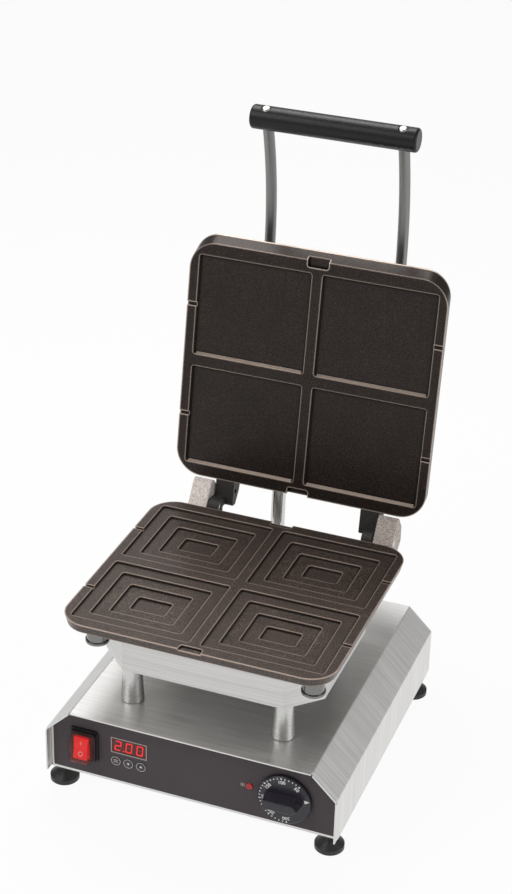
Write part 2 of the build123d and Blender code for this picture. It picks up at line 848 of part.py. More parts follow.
# Upper baking plate: plain cells with sloped walls that close over the stepped ones
with BuildPart() as upper_baking_plate:
    plate_casting(
        upper_face,
        upper_rim,
        upper_rim_draft,
        upper_rim_flare,
        [(0, 0)],
        upper_recess_depth,
        upper_recess_draft,
        upper_notch_depth,
    )
upper_baking_plate.part.label = "upper_baking_plate"
export_step(upper_baking_plate.part, "parts/upper_baking_plate.step")

with BuildPart() as upper_plate_studs:
    plate_studs(upper_face, upper_rim)
upper_plate_studs.part.label = "upper_plate_studs"
export_step(upper_plate_studs.part, "parts/upper_plate_studs.step")

# Thumb nuts on the two front studs of each plate
for plate_name, face, rim in (("lower", lower_face, lower_rim), ("upper", upper_face, upper_rim)):
    for side_name, side in (("left", -1), ("right", 1)):
        mirrored = side if plate_name == "lower" else -side
        with BuildPart() as nut:
            thumb_nut(face, rim, mirrored)
        nut.part.label = f"{plate_name}_plate_nut_{side_name}"
        export_step(nut.part, f"parts/{plate_name}_plate_nut_{side_name}.step")

# Hinge posts: cast lugs bolted up under the lower plate's rear edge. Each leans back to the
# hinge and has a ledge that stops the open lid
knuckle_inner_x = arm_inner_x + arm_width - arm_knuckle_width
heel_reach = arm_heel * sin(lean) + arm_heel_half * cos(lean)
stop_back = hinge_depth - heel_reach - moving_gap
stop_z = hinge_z - stop_below_axis
seat_z = parting_height - lower_rim
foot_z = seat_z - post_foot_height
tail_depth = plate_depth - post_foot_overlap
for side_name, side in (("left", -1), ("right", 1)):
    with BuildPart() as post:
        with BuildSketch(side_plane(side * post_x)):
            with BuildLine():
                Polyline(
                    (tail_depth, seat_z),
                    (plate_depth + post_step_behind_plate, seat_z),
                    *[(hinge_depth + behind, hinge_z + above) for behind, above in post_head],
                    (stop_back - stop_thickness, stop_z),
                    (plate_depth - post_foot_heel, foot_z),
                    (tail_depth, foot_z),
                    close=True,
                )
            make_face()
        extrude(amount=post_width / 2, both=True)
        side_edges = post.faces().filter_by(Axis.X).edges()
        fillet(side_edges.filter_by(lambda edge: edge.center().Z > seat_z + post_edge), post_edge)
        ledge_end = post_inner_x + post_width
        with BuildSketch(level(stop_z, depth=0)):
            with Locations((side * (knuckle_inner_x + ledge_end) / 2, stop_back - stop_thickness / 2)):
                Rectangle(ledge_end - knuckle_inner_x, stop_thickness)
        extrude(amount=stop_rise)
        with BuildSketch(side_plane(side * post_x)):
            with Locations((hinge_depth, hinge_z)):
                Circle(pin_radius + fixed_gap)
        extrude(amount=post_width, both=True, mode=Mode.SUBTRACT)
        drill(level(seat_z), post_bolts, post_bolt_radius + clearance, 2 * post_foot_height)
    post.part.label = f"hinge_post_{side_name}"
    export_step(post.part, f"parts/hinge_post_{side_name}.step")

# Bolts up through the post feet into the plate
with BuildPart() as hinge_post_bolts:
    hex_nut(level(foot_z - post_bolt_head), post_bolt_flats, post_bolt_head, 0, post_bolts)
    shank = post_foot_height + post_bolt_in_plate - clearance
    cylinder(level(foot_z), post_bolt_radius, shank, post_bolts)
hinge_post_bolts.part.label = "hinge_post_bolts"
export_step(hinge_post_bolts.part, "parts/hinge_post_bolts.step")

# Hinge pins: pressed into the posts, flush outside, and just short of the knuckles' inner faces
with BuildPart() as hinge_pins:
    for side in (-1, 1):
        inner_x = knuckle_inner_x + pin_recess
        outer_x = post_inner_x + post_width
        with BuildSketch(side_plane(side * inner_x)):
            with Locations((hinge_depth, hinge_z)):
                Circle(pin_radius)
        extrude(amount=side * (outer_x - inner_x))
hinge_pins.part.label = "hinge_pins"
export_step(hinge_pins.part, "parts/hinge_pins.step")

# Hinge arms: a block behind the plate's edge with a blind hole in its inner side, a narrower
# knuckle and heel beside the post, and a tail bolted to the upper housing
arm_middle = arm_inner_x + arm_width / 2
knuckle_middle = knuckle_inner_x + arm_knuckle_width / 2
arm_front = hinge_drop + plate_gap
arm_back = arm_front + arm_thickness
arm_edge = -hinge_behind_plate + arm_side_gap
for side_name, side in (("left", -1), ("right", 1)):
    with BuildPart() as arm:
        with BuildSketch(lid_side(side * arm_middle)):
            with BuildLine():
                Polyline(
                    (arm_edge, arm_front),
                    (0, arm_front),
                    (arm_lip, arm_front + arm_lip),
                    (arm_lip, arm_front + arm_end_thickness),
                    (arm_lip - arm_round_length, arm_back - arm_round_rise),
                    (arm_edge, arm_back),
                    (hinge_wall + arm_foot_thickness, arm_back),
                    (hinge_wall + arm_foot_thickness, arm_foot_height),
                    (hinge_wall, arm_foot_height),
                    (hinge_wall, upper_back + housing_flange_sheet),
                    (hinge_wall + housing_flange + clearance, upper_back + housing_flange_sheet),
                    (hinge_wall + housing_flange + clearance, upper_back),
                    (arm_edge, upper_back),
                    close=True,
                )
            make_face()
        extrude(amount=arm_width / 2, both=True)
        with BuildSketch(lid_side(side * knuckle_middle)):
            Circle(arm_knuckle_radius)
            with Locations(((arm_lip - arm_knuckle_radius) / 2, (arm_front + arm_lip) / 2)):
                Rectangle(arm_knuckle_radius + arm_lip, arm_front + arm_lip)
            with Locations((arm_heel / 2, 0)):
                Rectangle(arm_heel, 2 * arm_heel_half)
        extrude(amount=arm_knuckle_width / 2, both=True)
        with BuildSketch(lid_side(side * knuckle_middle)):
            Circle(pin_radius + running_gap)
        extrude(amount=arm_knuckle_width, both=True, mode=Mode.SUBTRACT)
        with BuildSketch(lid_side(side * arm_inner_x)):
            with Locations(arm_blind_hole):
                Circle(arm_blind_hole_radius)
        extrude(amount=side * arm_blind_hole_depth, mode=Mode.SUBTRACT)
        foot_face = lid_end(side * arm_bolt_x, hinge_wall, arm_bolt_height)
        drill(foot_face, arm_bolts, bolt_radius + clearance, 2 * arm_foot_thickness)
    arm.part.label = f"hinge_arm_{side_name}"
    export_step(arm.part, f"parts/hinge_arm_{side_name}.step")

# Bolts through the arm feet, with nuts inside the upper housing
with BuildPart() as hinge_arm_bolts:
    for side in (-1, 1):
        head = lid_end(side * arm_bolt_x, hinge_wall + arm_foot_thickness, arm_bolt_height)
        hex_nut(head, bolt_flats, -bolt_head, 0, arm_bolts)
        cylinder(head, bolt_radius, arm_foot_thickness + housing_sheet + bolt_head + 1, arm_bolts)
        inside = lid_end(side * arm_bolt_x, hinge_wall - housing_sheet, arm_bolt_height)
        hex_nut(inside, bolt_flats, bolt_head, 0, arm_bolts)
hinge_arm_bolts.part.label = "hinge_arm_bolts"
export_step(hinge_arm_bolts.part, "parts/hinge_arm_bolts.step")


def rod_end(x, past_vertex):
    """Plane square to a handle rod, at a distance past its bend, facing away from the machine."""
    turn = radians(rod_bend_angle)
    along = rod_vertex - past_vertex * cos(turn)
    behind = rod_height - past_vertex * sin(turn)
    return Plane(
        origin=lid.from_local_coords((x, along, behind)),
        x_dir=lid.x_dir,
        z_dir=-lid.y_dir * cos(turn) - lid.z_dir * sin(turn),
    )


# Handle rods: bent steel bars, bolted through the handle wall of the upper housing
for side_name, side in (("left", -1), ("right", 1)):
    with BuildPart() as handle_rod:
        turn = radians(rod_bend_angle)
        rod_length = rod_to_grip + grip_pocket_past_centre
        with BuildLine(lid_side(side * rod_offset_x)) as rod_line:
            FilletPolyline(
                (handle_wall + rod_tail_inside, rod_height),
                (rod_vertex, rod_height),
                (rod_vertex - rod_length * cos(turn), rod_height - rod_length * sin(turn)),
                radius=rod_bend_radius,
            )
        with BuildSketch(Plane(origin=rod_line.line @ 0, z_dir=rod_line.line % 0)):
            Circle(rod_radius)
        sweep(path=rod_line.line)
        tip = rod_end(side * rod_offset_x, rod_length)
        drill(tip, [(0, 0)], handle_screw_radius + fixed_gap, handle_screw_length)
    handle_rod.part.label = f"handle_rod_{side_name}"
    export_step(handle_rod.part, f"parts/handle_rod_{side_name}.step")

# Nuts on both sides of the housing wall, two on each rod
with BuildPart() as handle_nuts:
    for side in (-1, 1):
        outside = lid_end(side * rod_offset_x, handle_wall, rod_height)
        hex_nut(outside, rod_nut_flats, rod_nut_height, rod_radius + fixed_gap)
        inside = lid_end(side * rod_offset_x, handle_wall + housing_sheet, rod_height)
        hex_nut(inside, rod_nut_flats, -rod_nut_height, rod_radius + fixed_gap)
handle_nuts.part.label = "handle_nuts"
export_step(handle_nuts.part, "parts/handle_nuts.step")

# Grip: one moulded bar across both rods
with BuildPart() as handle_grip:
    grip_centre = rod_end(0, rod_to_grip).origin
    with BuildSketch(Plane(origin=grip_centre, x_dir=(0, 1, 0), z_dir=(1, 0, 0))):
        Circle(grip_radius)
    extrude(amount=grip_length / 2, both=True)
    fillet(handle_grip.edges().filter_by(GeomType.CIRCLE), grip_edge)
    for side in (-1, 1):
        pocket_floor = rod_end(side * rod_offset_x, rod_to_grip + grip_pocket_past_centre)
        drill(pocket_floor, [(0, 0)], rod_radius + clearance, 2 * grip_radius)
        screw_seat = rod_end(side * rod_offset_x, rod_to_grip + handle_screw_seat)
        drill(screw_seat, [(0, 0)], handle_screw_radius + clearance, grip_radius)
        head_room = screw_seat.offset(grip_radius)
        drill(head_room, [(0, 0)], handle_screw_head_radius + clearance, grip_radius)
handle_grip.part.label = "handle_grip"
export_step(handle_grip.part, "parts/handle_grip.step")

# Domed cross-head screws that run through the grip into the rod ends
with BuildPart() as handle_screws:
    for side in (-1, 1):
        seat = rod_end(side * rod_offset_x, rod_to_grip + handle_screw_seat)
        cylinder(seat, handle_screw_head_radius, handle_screw_head)
        cylinder(seat, handle_screw_radius, -handle_screw_length)
    tops = handle_screws.faces().sort_by(Axis(lid.origin, seat.z_dir))[-2:]
    fillet(tops.edges(), handle_screw_head * 0.8)
    for side in (-1, 1):
        seat = rod_end(side * rod_offset_x, rod_to_grip + handle_screw_seat)
        with BuildSketch(seat.offset(handle_screw_head)):
            Rectangle(handle_screw_head_radius, cross_slot)
            Rectangle(cross_slot, handle_screw_head_radius)
        extrude(amount=-handle_screw_head / 2, mode=Mode.SUBTRACT)
handle_screws.part.label = "handle_screws"
export_step(handle_screws.part, "parts/handle_screws.step")

# Switch body: a bezel on the panel and a box behind it, open for the rocker and its axle
cover_depth = panel_recess - switch_bezel_thickness - switch_collar_rise
pivot_depth = cover_depth + rocker_pivot_behind
with BuildPart() as switch_body:
    switch_front = facing_front(panel_recess, switch_x, switch_z)
    with BuildSketch(switch_front):
        RectangleRounded(switch_bezel_width, switch_bezel_height, cover_corner)
    extrude(amount=switch_bezel_thickness)
    with BuildSketch(switch_front.offset(switch_bezel_thickness)):
        RectangleRounded(switch_collar_width, switch_collar_height, cover_corner)
    extrude(amount=switch_collar_rise)
    with BuildSketch(switch_front):
        Rectangle(switch_body_width, switch_body_height)
    extrude(amount=-switch_body_length)
    with BuildSketch(switch_front.offset(switch_bezel_thickness + switch_collar_rise)):
        Rectangle(rocker_width + 2 * moving_gap, rocker_height + 2 * rocker_room)
    extrude(amount=-switch_cavity - switch_collar_rise, mode=Mode.SUBTRACT)
    with BuildSketch(side_plane(switch_x)):
        with Locations((pivot_depth, switch_z)):
            Circle(rocker_axle_radius + running_gap)
    extrude(amount=rocker_width / 2 + rocker_axle + moving_gap, both=True, mode=Mode.SUBTRACT)
switch_body.part.label = "switch_body"
export_step(switch_body.part, "parts/switch_body.step")

# Rocker: two-facet button on an axle, its upper half pressed in
with BuildPart() as power_rocker:
    tilt = radians(rocker_tilt / 2)
    rocker_plane = Plane(
        origin=(switch_x, front_y + pivot_depth, switch_z),
        x_dir=(0, cos(tilt), -sin(tilt)),
        z_dir=(1, 0, 0),
    )
    half = rocker_height / 2
    with BuildSketch(rocker_plane):
        with BuildLine():
            Polyline(
                (-rocker_front, half),
                (rocker_dish - rocker_front, 0),
                (-rocker_front, -half),
                (rocker_side_length - rocker_front, -half),
                (rocker_back, -half / 3),
                (rocker_back, half / 3),
                (rocker_side_length - rocker_front, half),
                close=True,
            )
        make_face()
    extrude(amount=rocker_width / 2, both=True)
    with BuildSketch(rocker_plane):
        Circle(rocker_axle_radius)
    extrude(amount=rocker_width / 2 + rocker_axle, both=True)
power_rocker.part.label = "power_rocker"
export_step(power_rocker.part, "parts/power_rocker.step")

# Splash cover: thin clear cap over the rocker, seated on the bezel
with BuildPart() as splash_cover:
    cover_seat = facing_front(cover_depth, switch_x, switch_z)
    with BuildSketch(cover_seat) as cover_base:
        RectangleRounded(cover_width, cover_height, cover_corner)
    with BuildSketch(cover_seat.offset(cover_projection)) as cover_top:
        RectangleRounded(cover_width - cover_taper, cover_height - cover_taper, cover_corner)
    loft([cover_base.sketch, cover_top.sketch])
    fillet(splash_cover.faces().sort_by(Axis.Y)[0].edges(), cover_corner / 2)
    with BuildSketch(cover_seat) as hollow_base:
        RectangleRounded(
            cover_width - 2 * cover_wall, cover_height - 2 * cover_wall, cover_corner - cover_wall
        )
    with BuildSketch(cover_seat.offset(cover_projection - cover_wall)) as hollow_top:
        RectangleRounded(
            cover_width - cover_taper - 2 * cover_wall,
            cover_height - cover_taper - 2 * cover_wall,
            cover_corner - cover_wall,
        )
    loft([hollow_base.sketch, hollow_top.sketch], mode=Mode.SUBTRACT)
splash_cover.part.label = "splash_cover"
export_step(splash_cover.part, "parts/splash_cover.step")

# Display: a thin frame on the panel, and a window in the panel's opening
with BuildPart() as display_frame_ring:
    with BuildSketch(facing_front(panel_recess, display_x, display_z)):
        Rectangle(display_width, display_height)
        Rectangle(*display_opening, mode=Mode.SUBTRACT)
    extrude(amount=display_frame_proud)
display_frame_ring.part.label = "display_frame"
export_step(display_frame_ring.part, "parts/display_frame.step")

with BuildPart() as display_window:
    with BuildSketch(facing_front(panel_recess, display_x, display_z)):
        Rectangle(display_opening[0] - clearance, display_opening[1] - clearance)
    extrude(amount=-panel_sheet)
display_window.part.label = "display_window"
export_step(display_window.part, "parts/display_window.step")

# Controller: a box behind the display and keys, on four spacers, with the display's module
controller_depth = panel_recess + panel_sheet + controller_behind
with BuildPart() as timer_controller:
    box_front = facing_front(controller_depth, display_x, (display_z + key_z) / 2)
    with BuildSketch(box_front):
        RectangleRounded(controller_width, controller_height, 2)
    extrude(amount=-controller_length)
    spacer_x = controller_width / 2 - spacer_radius
    spacer_y = controller_height / 2 - spacer_radius
    spacers = [(x, y) for x in (-spacer_x, spacer_x) for y in (-spacer_y, spacer_y)]
    cylinder(box_front, spacer_radius, controller_behind, spacers)
    with BuildSketch(facing_front(controller_depth, display_x, display_z)):
        Rectangle(display_opening[0] - 2, display_opening[1] - 2)
    extrude(amount=controller_behind)
timer_controller.part.label = "timer_controller"
export_step(timer_controller.part, "parts/timer_controller.step")

# Three round keys with a collar behind the panel and a stem that presses the controller
for key_name, x in zip(("program", "down", "up"), key_x):
    with BuildPart() as key:
        cap = facing_front(panel_recess - key_proud, x, key_z)
        cylinder(cap, key_radius, -key_length - key_proud)
        collar = facing_front(panel_recess + panel_sheet + key_collar_gap, x, key_z)
        cylinder(collar, key_radius + key_collar, -key_collar)
        stem_end = controller_depth - key_travel - moving_gap
        cylinder(cap, key_stem_radius, -(stem_end - panel_recess + key_proud))
    key.part.label = f"key_{key_name}"
    export_step(key.part, f"parts/key_{key_name}.step")

# Indicator lamp: domed lens in front, plain barrel behind
with BuildPart() as indicator_lamp:
    lamp_front = facing_front(panel_recess - lamp_proud, lamp_x, lamp_z)
    cylinder(lamp_front, lamp_radius, -lamp_length)
    fillet(indicator_lamp.edges().sort_by(Axis.Y)[0], lamp_proud * 0.8)
    cylinder(facing_front(panel_recess + panel_sheet, lamp_x, lamp_z), lamp_radius + 2, -lamp_nut)
indicator_lamp.part.label = "indicator_lamp"
export_step(indicator_lamp.part, "parts/indicator_lamp.step")

# Thermostat: a box behind the panel with a bush that carries the knob's spindle
with BuildPart() as thermostat_body:
    panel_back = facing_front(panel_recess + panel_sheet, knob_x, knob_z)
    with BuildSketch(panel_back):
        RectangleRounded(thermostat_width, thermostat_height, 3)
    extrude(amount=-thermostat_length)
    cylinder(panel_back, bush_radius, panel_sheet)
    drill(panel_back.offset(panel_sheet), [(0, 0)], spindle_radius + running_gap, thermostat_length)
thermostat_body.part.label = "thermostat_body"
export_step(thermostat_body.part, "parts/thermostat_body.step")

# Spindle and knob turn together in the bush
spindle_start = panel_recess - moving_gap - knob_skirt
with BuildPart() as thermostat_spindle:
    cylinder(facing_front(spindle_start, knob_x, knob_z), spindle_radius, -spindle_length)
thermostat_spindle.part.label = "thermostat_spindle"
export_step(thermostat_spindle.part, "parts/thermostat_spindle.step")

with BuildPart() as thermostat_knob:
    knob_seat = facing_front(panel_recess - moving_gap, knob_x, knob_z)
    cylinder(knob_seat, knob_radius, knob_skirt)
    chamfer(thermostat_knob.edges().sort_by(Axis.Y)[0], knob_bevel)
    with BuildSketch(knob_seat.offset(knob_skirt)):
        Polygon(
            (-knob_bar_end, -knob_bar_width / 2),
            (knob_bar_shoulder, -knob_bar_width / 2),
            (knob_bar_end, 0),
            (knob_bar_shoulder, knob_bar_width / 2),
            (-knob_bar_end, knob_bar_width / 2),
            align=None,
        )
    extrude(amount=knob_bar_height, taper=knob_bar_draft)
    fillet(thermostat_knob.faces().sort_by(Axis.Y)[0].edges(), knob_bevel)
    drill(knob_seat.offset(knob_skirt), [(0, 0)], spindle_radius + fixed_gap, knob_skirt)
thermostat_knob.part.label = "thermostat_knob"
export_step(thermostat_knob.part, "parts/thermostat_knob.step")

# Terminal block on the floor, beside the cord's opening
with BuildPart() as terminal_block:
    block_depth = base_depth - panel_recess - panel_flange - terminal_size[1]
    with BuildSketch(level(floor_top, x=cord_gland_x, depth=block_depth)):
        Rectangle(terminal_size[0], terminal_size[1])
    extrude(amount=terminal_size[2])
    with BuildSketch(level(floor_top + terminal_size[2], x=cord_gland_x, depth=block_depth)):
        with GridLocations(terminal_size[0] / 5, terminal_size[1] / 2, 5, 2):
            Circle(terminal_screw_radius)
    extrude(amount=-terminal_size[2] / 2, mode=Mode.SUBTRACT)
terminal_block.part.label = "terminal_block"
export_step(terminal_block.part, "parts/terminal_block.step")

# Cord gland in the rear panel: threaded tube with a cap outside and a nut inside
with BuildPart() as cord_gland:
    outside = facing_front(base_depth - panel_recess, cord_gland_x, cord_gland_z)
    cylinder(outside.offset(panel_sheet + gland_nut), cord_gland_thread, -cord_gland_length)
    hex_nut(outside, gland_flats, -cord_gland_cap, 0)
    hex_nut(outside.offset(panel_sheet), gland_flats, gland_nut, 0)
    drill(outside.offset(2 * cord_gland_length), [(0, 0)], cord_radius, 4 * cord_gland_length)
cord_gland.part.label = "cord_gland"
export_step(cord_gland.part, "parts/cord_gland.step")

# Glands at both ends of the wiring conduit
conduit_foot = level(base_top, x=conduit_x, depth=conduit_depth)
conduit_head = Plane(
    origin=lid.from_local_coords((conduit_top_x, hinge_wall, conduit_top_height)),
    x_dir=lid.x_dir,
    z_dir=lid.y_dir,
)
for end_name, seat in (("lower", conduit_foot), ("upper", conduit_head)):
    with BuildPart() as gland:
        hex_nut(seat, gland_flats, gland_height, gland_bore)
        chamfer(gland.faces().sort_by(Axis(seat.origin, seat.z_dir))[-1].outer_wire().edges(), 1)
    gland.part.label = f"conduit_gland_{end_name}"
    export_step(gland.part, f"parts/conduit_gland_{end_name}.step")

# Wiring conduit: straight at each gland, with two wide bends between
conduit_start = conduit_foot.offset(gland_height)
conduit_end = conduit_head.offset(gland_height)
conduit_points = [
    conduit_start.origin,
    conduit_start.offset(conduit_rise).origin,
    conduit_end.offset(conduit_entry).origin,
    conduit_end.origin,
]
conduit_runs = [b - a for a, b in zip(conduit_points, conduit_points[1:])]
conduit_radii = [
    0.45 * min(run.length, after.length) / tan(radians(run.get_angle(after)) / 2)
    for run, after in zip(conduit_runs, conduit_runs[1:])
]
with BuildPart() as wiring_conduit:
    with BuildLine() as conduit_route:
        FilletPolyline(*conduit_points, radius=conduit_radii)
    with BuildSketch(Plane(origin=conduit_route.line @ 0, z_dir=conduit_route.line % 0)):
        Circle(conduit_radius)
    sweep(path=conduit_route.line)
wiring_conduit.part.label = "wiring_conduit"
export_step(wiring_conduit.part, "parts/wiring_conduit.step")
conduit_length = conduit_route.wires()[0].length
print("conduit length", round(conduit_length, 1), "bend radii", [round(r) for r in conduit_radii])
conduit_section = pi * conduit_radius**2
print("conduit volume ratio", round(wiring_conduit.part.volume / (conduit_section * conduit_length), 5))
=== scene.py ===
from math import cos, pi, radians, sin

import bpy
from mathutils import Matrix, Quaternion, Vector


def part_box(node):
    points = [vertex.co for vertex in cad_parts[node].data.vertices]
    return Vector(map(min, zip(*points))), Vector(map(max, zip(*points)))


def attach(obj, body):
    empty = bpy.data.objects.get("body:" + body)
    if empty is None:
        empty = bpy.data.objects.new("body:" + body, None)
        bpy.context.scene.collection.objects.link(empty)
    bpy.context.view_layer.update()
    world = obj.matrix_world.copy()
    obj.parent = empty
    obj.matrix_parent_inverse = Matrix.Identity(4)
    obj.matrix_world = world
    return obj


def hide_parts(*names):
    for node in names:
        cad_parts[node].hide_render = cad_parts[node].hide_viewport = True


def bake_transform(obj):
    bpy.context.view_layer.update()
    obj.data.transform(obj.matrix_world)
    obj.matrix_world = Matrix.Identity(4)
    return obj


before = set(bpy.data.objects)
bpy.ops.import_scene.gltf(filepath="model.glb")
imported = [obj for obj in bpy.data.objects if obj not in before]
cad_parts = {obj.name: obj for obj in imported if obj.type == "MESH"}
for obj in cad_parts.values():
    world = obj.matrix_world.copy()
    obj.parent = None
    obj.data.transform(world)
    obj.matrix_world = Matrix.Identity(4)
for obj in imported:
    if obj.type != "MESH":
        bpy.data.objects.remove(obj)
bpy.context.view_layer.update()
bpy.context.scene.view_settings.view_transform = "Standard"

# Camera: a long lens, to the right of the machine's front and well above it,
# rolled a little, as the machine was photographed
camera_azimuth, camera_elevation, camera_roll = radians(20.09), radians(28.39), radians(1.59)
camera_right, camera_ahead, camera_height = 0.6189, 1.5161, 1.3272
camera_lens = 80.735
base_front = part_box("base_housing")[0].y
camera_place = (camera_right, base_front - camera_ahead, camera_height)
camera_back = Vector(
    (
        sin(camera_azimuth) * cos(camera_elevation),
        -cos(camera_azimuth) * cos(camera_elevation),
        sin(camera_elevation),
    )
)
bpy.ops.object.camera_add(location=camera_place)
camera = bpy.context.object
camera.data.lens = camera_lens
camera.rotation_mode = "QUATERNION"
level_turn = (-camera_back).to_track_quat("-Z", "Y")
camera.rotation_quaternion = level_turn @ Quaternion((0, 0, 1), camera_roll)
bpy.context.scene.camera = camera


# Studio: a seamless pale floor in a dim pale room, with a lamp overhead, broad ones at
# the right and at the front left, and a dim, very broad one behind
def linear(colour):
    """The linear numbers of a colour written as #rrggbb."""
    parts = [int(colour[i : i + 2], 16) / 255 for i in (1, 3, 5)]
    return tuple(p / 12.92 if p <= 0.04045 else ((p + 0.055) / 1.055) ** 2.4 for p in parts)


def node(tree, kind, inputs=None, **settings):
    """A shader node with its settings, and each input either linked or set."""
    made = tree.nodes.new("ShaderNode" + kind)
    for name, value in settings.items():
        setattr(made, name, value)
    for name, value in (inputs or {}).items():
        if isinstance(value, bpy.types.NodeSocket):
            tree.links.new(value, made.inputs[name])
        else:
            made.inputs[name].default_value = value
    return made


def seen_directly(tree):
    """1 for rays from the camera, from a mirror or through glass, and 0 for light on things."""
    rays = node(tree, "LightPath").outputs
    plain, mirrored, through = (
        rays["Is Camera Ray"],
        rays["Is Glossy Ray"],
        rays["Is Transmission Ray"],
    )
    seen = node(tree, "Math", {0: plain, 1: mirrored}, operation="MAXIMUM").outputs[0]
    return node(tree, "Math", {0: seen, 1: through}, operation="MAXIMUM").outputs[0]


floor_size = 60.0
floor_colour = linear("#f2f2f0")
floor_clean_share = 0.93
bpy.ops.object.select_all(action="DESELECT")
bpy.ops.mesh.primitive_plane_add(size=floor_size)
studio_floor = bpy.context.object
studio_floor.name = "studio_floor"
floor_paper = bpy.data.materials.new("studio_paper")
floor_paper.use_nodes = True
tree = floor_paper.node_tree
tree.nodes.remove(tree.nodes["Principled BSDF"])
lit_paper = node(tree, "BsdfDiffuse", {"Color": (*floor_colour, 1)})
clean_paper = node(tree, "Emission", {"Color": (1, 1, 1, 1), "Strength": 1.0})
clean_share = node(
    tree, "Math", {0: seen_directly(tree), 1: floor_clean_share}, operation="MULTIPLY"
)
paper = node(
    tree,
    "MixShader",
    {0: clean_share.outputs[0], 1: lit_paper.outputs[0], 2: clean_paper.outputs[0]},
)
tree.links.new(paper.outputs[0], tree.nodes["Material Output"].inputs["Surface"])
studio_floor.data.materials.append(floor_paper)

room_colour = linear("#ffffff")
room_strength = 0.38
room = bpy.data.worlds.new("studio_room")
bpy.context.scene.world = room
room.use_nodes = True
room.node_tree.nodes["Background"].inputs["Color"].default_value = (*room_colour, 1)
room.node_tree.nodes["Background"].inputs["Strength"].default_value = room_strength

lamp_target = Vector((0, 0, 0.25))
lamps = (  # name, place, width, height, watts
    ("lamp_overhead", (-0.4, 0.7, 1.8), 1.0, 0.8, 15.0),
    ("lamp_right", (1.9, -0.2, 0.9), 1.4, 1.6, 9.0),
    ("lamp_left", (-0.9, -0.9, 1.6), 1.2, 1.2, 11.0),
    ("lamp_rear", (-0.7, 2.6, 1.4), 3.2, 1.2, 2.0),
)
for lamp_name, place, width, height, watts in lamps:
    bpy.ops.object.light_add(type="AREA", location=place)
    lamp = bpy.context.object
    lamp.name = lamp_name
    lamp.data.shape = "RECTANGLE"
    lamp.data.size = width
    lamp.data.size_y = height
    lamp.data.energy = watts
    lamp.rotation_euler = (lamp_target - Vector(place)).to_track_quat("-Z", "Y").to_euler()


# Base box: one folded sheet of brushed stainless steel over the top and both sides, a
# flat floor sheet under it, and a flanged sheet at the rear, screwed to the floor. The
# brush lines run across the top and on down the sides, and the bends get a painted
# highlight, a paler, less metallic colour along each fold.
def finish(name, colour, roughness, metallic=0.0):
    """A new material with plain values on its shader: the material, its tree and its shader."""
    material = bpy.data.materials.new(name)
    material.use_nodes = True
    shader = material.node_tree.nodes["Principled BSDF"]
    shader.inputs["Base Color"].default_value = (*linear(colour), 1)
    shader.inputs["Roughness"].default_value = roughness
    shader.inputs["Metallic"].default_value = metallic
    return material, material.node_tree, shader


def grain(tree, size, stretch=(1, 1, 1), detail=3.0, turn=(0, 0, 0)):
    """Noise fixed to the piece: spots of one size in metres, drawn out by stretch."""
    place = node(tree, "TexCoord").outputs["Object"]
    turned = node(tree, "Mapping", {"Vector": place, "Rotation": turn}).outputs[0]
    drawn = node(tree, "Mapping", {"Vector": turned, "Scale": tuple(1 / s for s in stretch)})
    look = {"Vector": drawn.outputs[0], "Scale": 1 / size, "Detail": detail}
    return node(tree, "TexNoise", look).outputs["Fac"]


def ranged(tree, value, low, high, start=0.35, end=0.65):
    """A value spread from low to high as it goes from start to end."""
    names = ("Value", "From Min", "From Max", "To Min", "To Max")
    return node(tree, "MapRange", dict(zip(names, (value, start, end, low, high)))).outputs[0]


def mixed(tree, share, first, second):
    """One colour going to another, each a socket or written as #rrggbb."""
    first, second = ((*linear(c), 1) if isinstance(c, str) else c for c in (first, second))
    factor_in, first_in, second_in, colour_out = 0, 6, 7, 2
    inputs = {factor_in: share, first_in: first, second_in: second}
    return node(tree, "Mix", inputs, data_type="RGBA").outputs[colour_out]


def relief(tree, shader, height, depth, edge):
    """Bump of a depth in metres, over edges rounded to a radius in metres."""
    rounded = node(tree, "Bevel", {"Radius": edge}, samples=6).outputs[0]
    bump = node(tree, "Bump", {"Height": height, "Distance": depth, "Normal": rounded})
    tree.links.new(bump.outputs[0], shader.inputs["Normal"])


def dress(material, *names):
    """Gives a material to CAD nodes."""
    for name in names:
        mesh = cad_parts[name].data
        mesh.materials.clear()
        mesh.materials.append(material)


def brushed_steel(name, colour, roughness, stretch, depth, turn=(0, 0, 0)):
    """Steel with fine scratches along the directions in which the noise is drawn out."""
    scratch_size, streak_size, cloud_size, edge = 0.0006, 0.0012, 0.045, 0.0005
    scratch_spread, cloud_spread, streak_shade = 0.07, 0.012, 0.93
    material, tree, shader = finish(name, colour, roughness, 1.0)
    scratches = grain(tree, scratch_size, stretch, 5.0, turn)
    clouds = grain(tree, cloud_size, (1, 1, 1), 2.0)
    rough = ranged(tree, scratches, roughness - scratch_spread, roughness + scratch_spread)
    uneven = ranged(tree, clouds, -cloud_spread, cloud_spread)
    total = node(tree, "Math", {0: rough, 1: uneven}, operation="ADD").outputs[0]
    tree.links.new(total, shader.inputs["Roughness"])
    shades = (int(int(colour[i : i + 2], 16) * streak_shade) for i in (1, 3, 5))
    darker = "#" + "".join(f"{shade:02x}" for shade in shades)
    streaks = ranged(tree, grain(tree, streak_size, stretch, 4.0, turn), 0, 1)
    brushing = node(tree, "Math", {0: scratches, 1: streaks}, operation="MULTIPLY").outputs[0]
    brushed = ranged(tree, brushing, 0, 1, 0.0, 0.45)
    tree.links.new(mixed(tree, brushed, darker, colour), shader.inputs["Base Color"])
    relief(tree, shader, scratches, depth, edge)
    return material


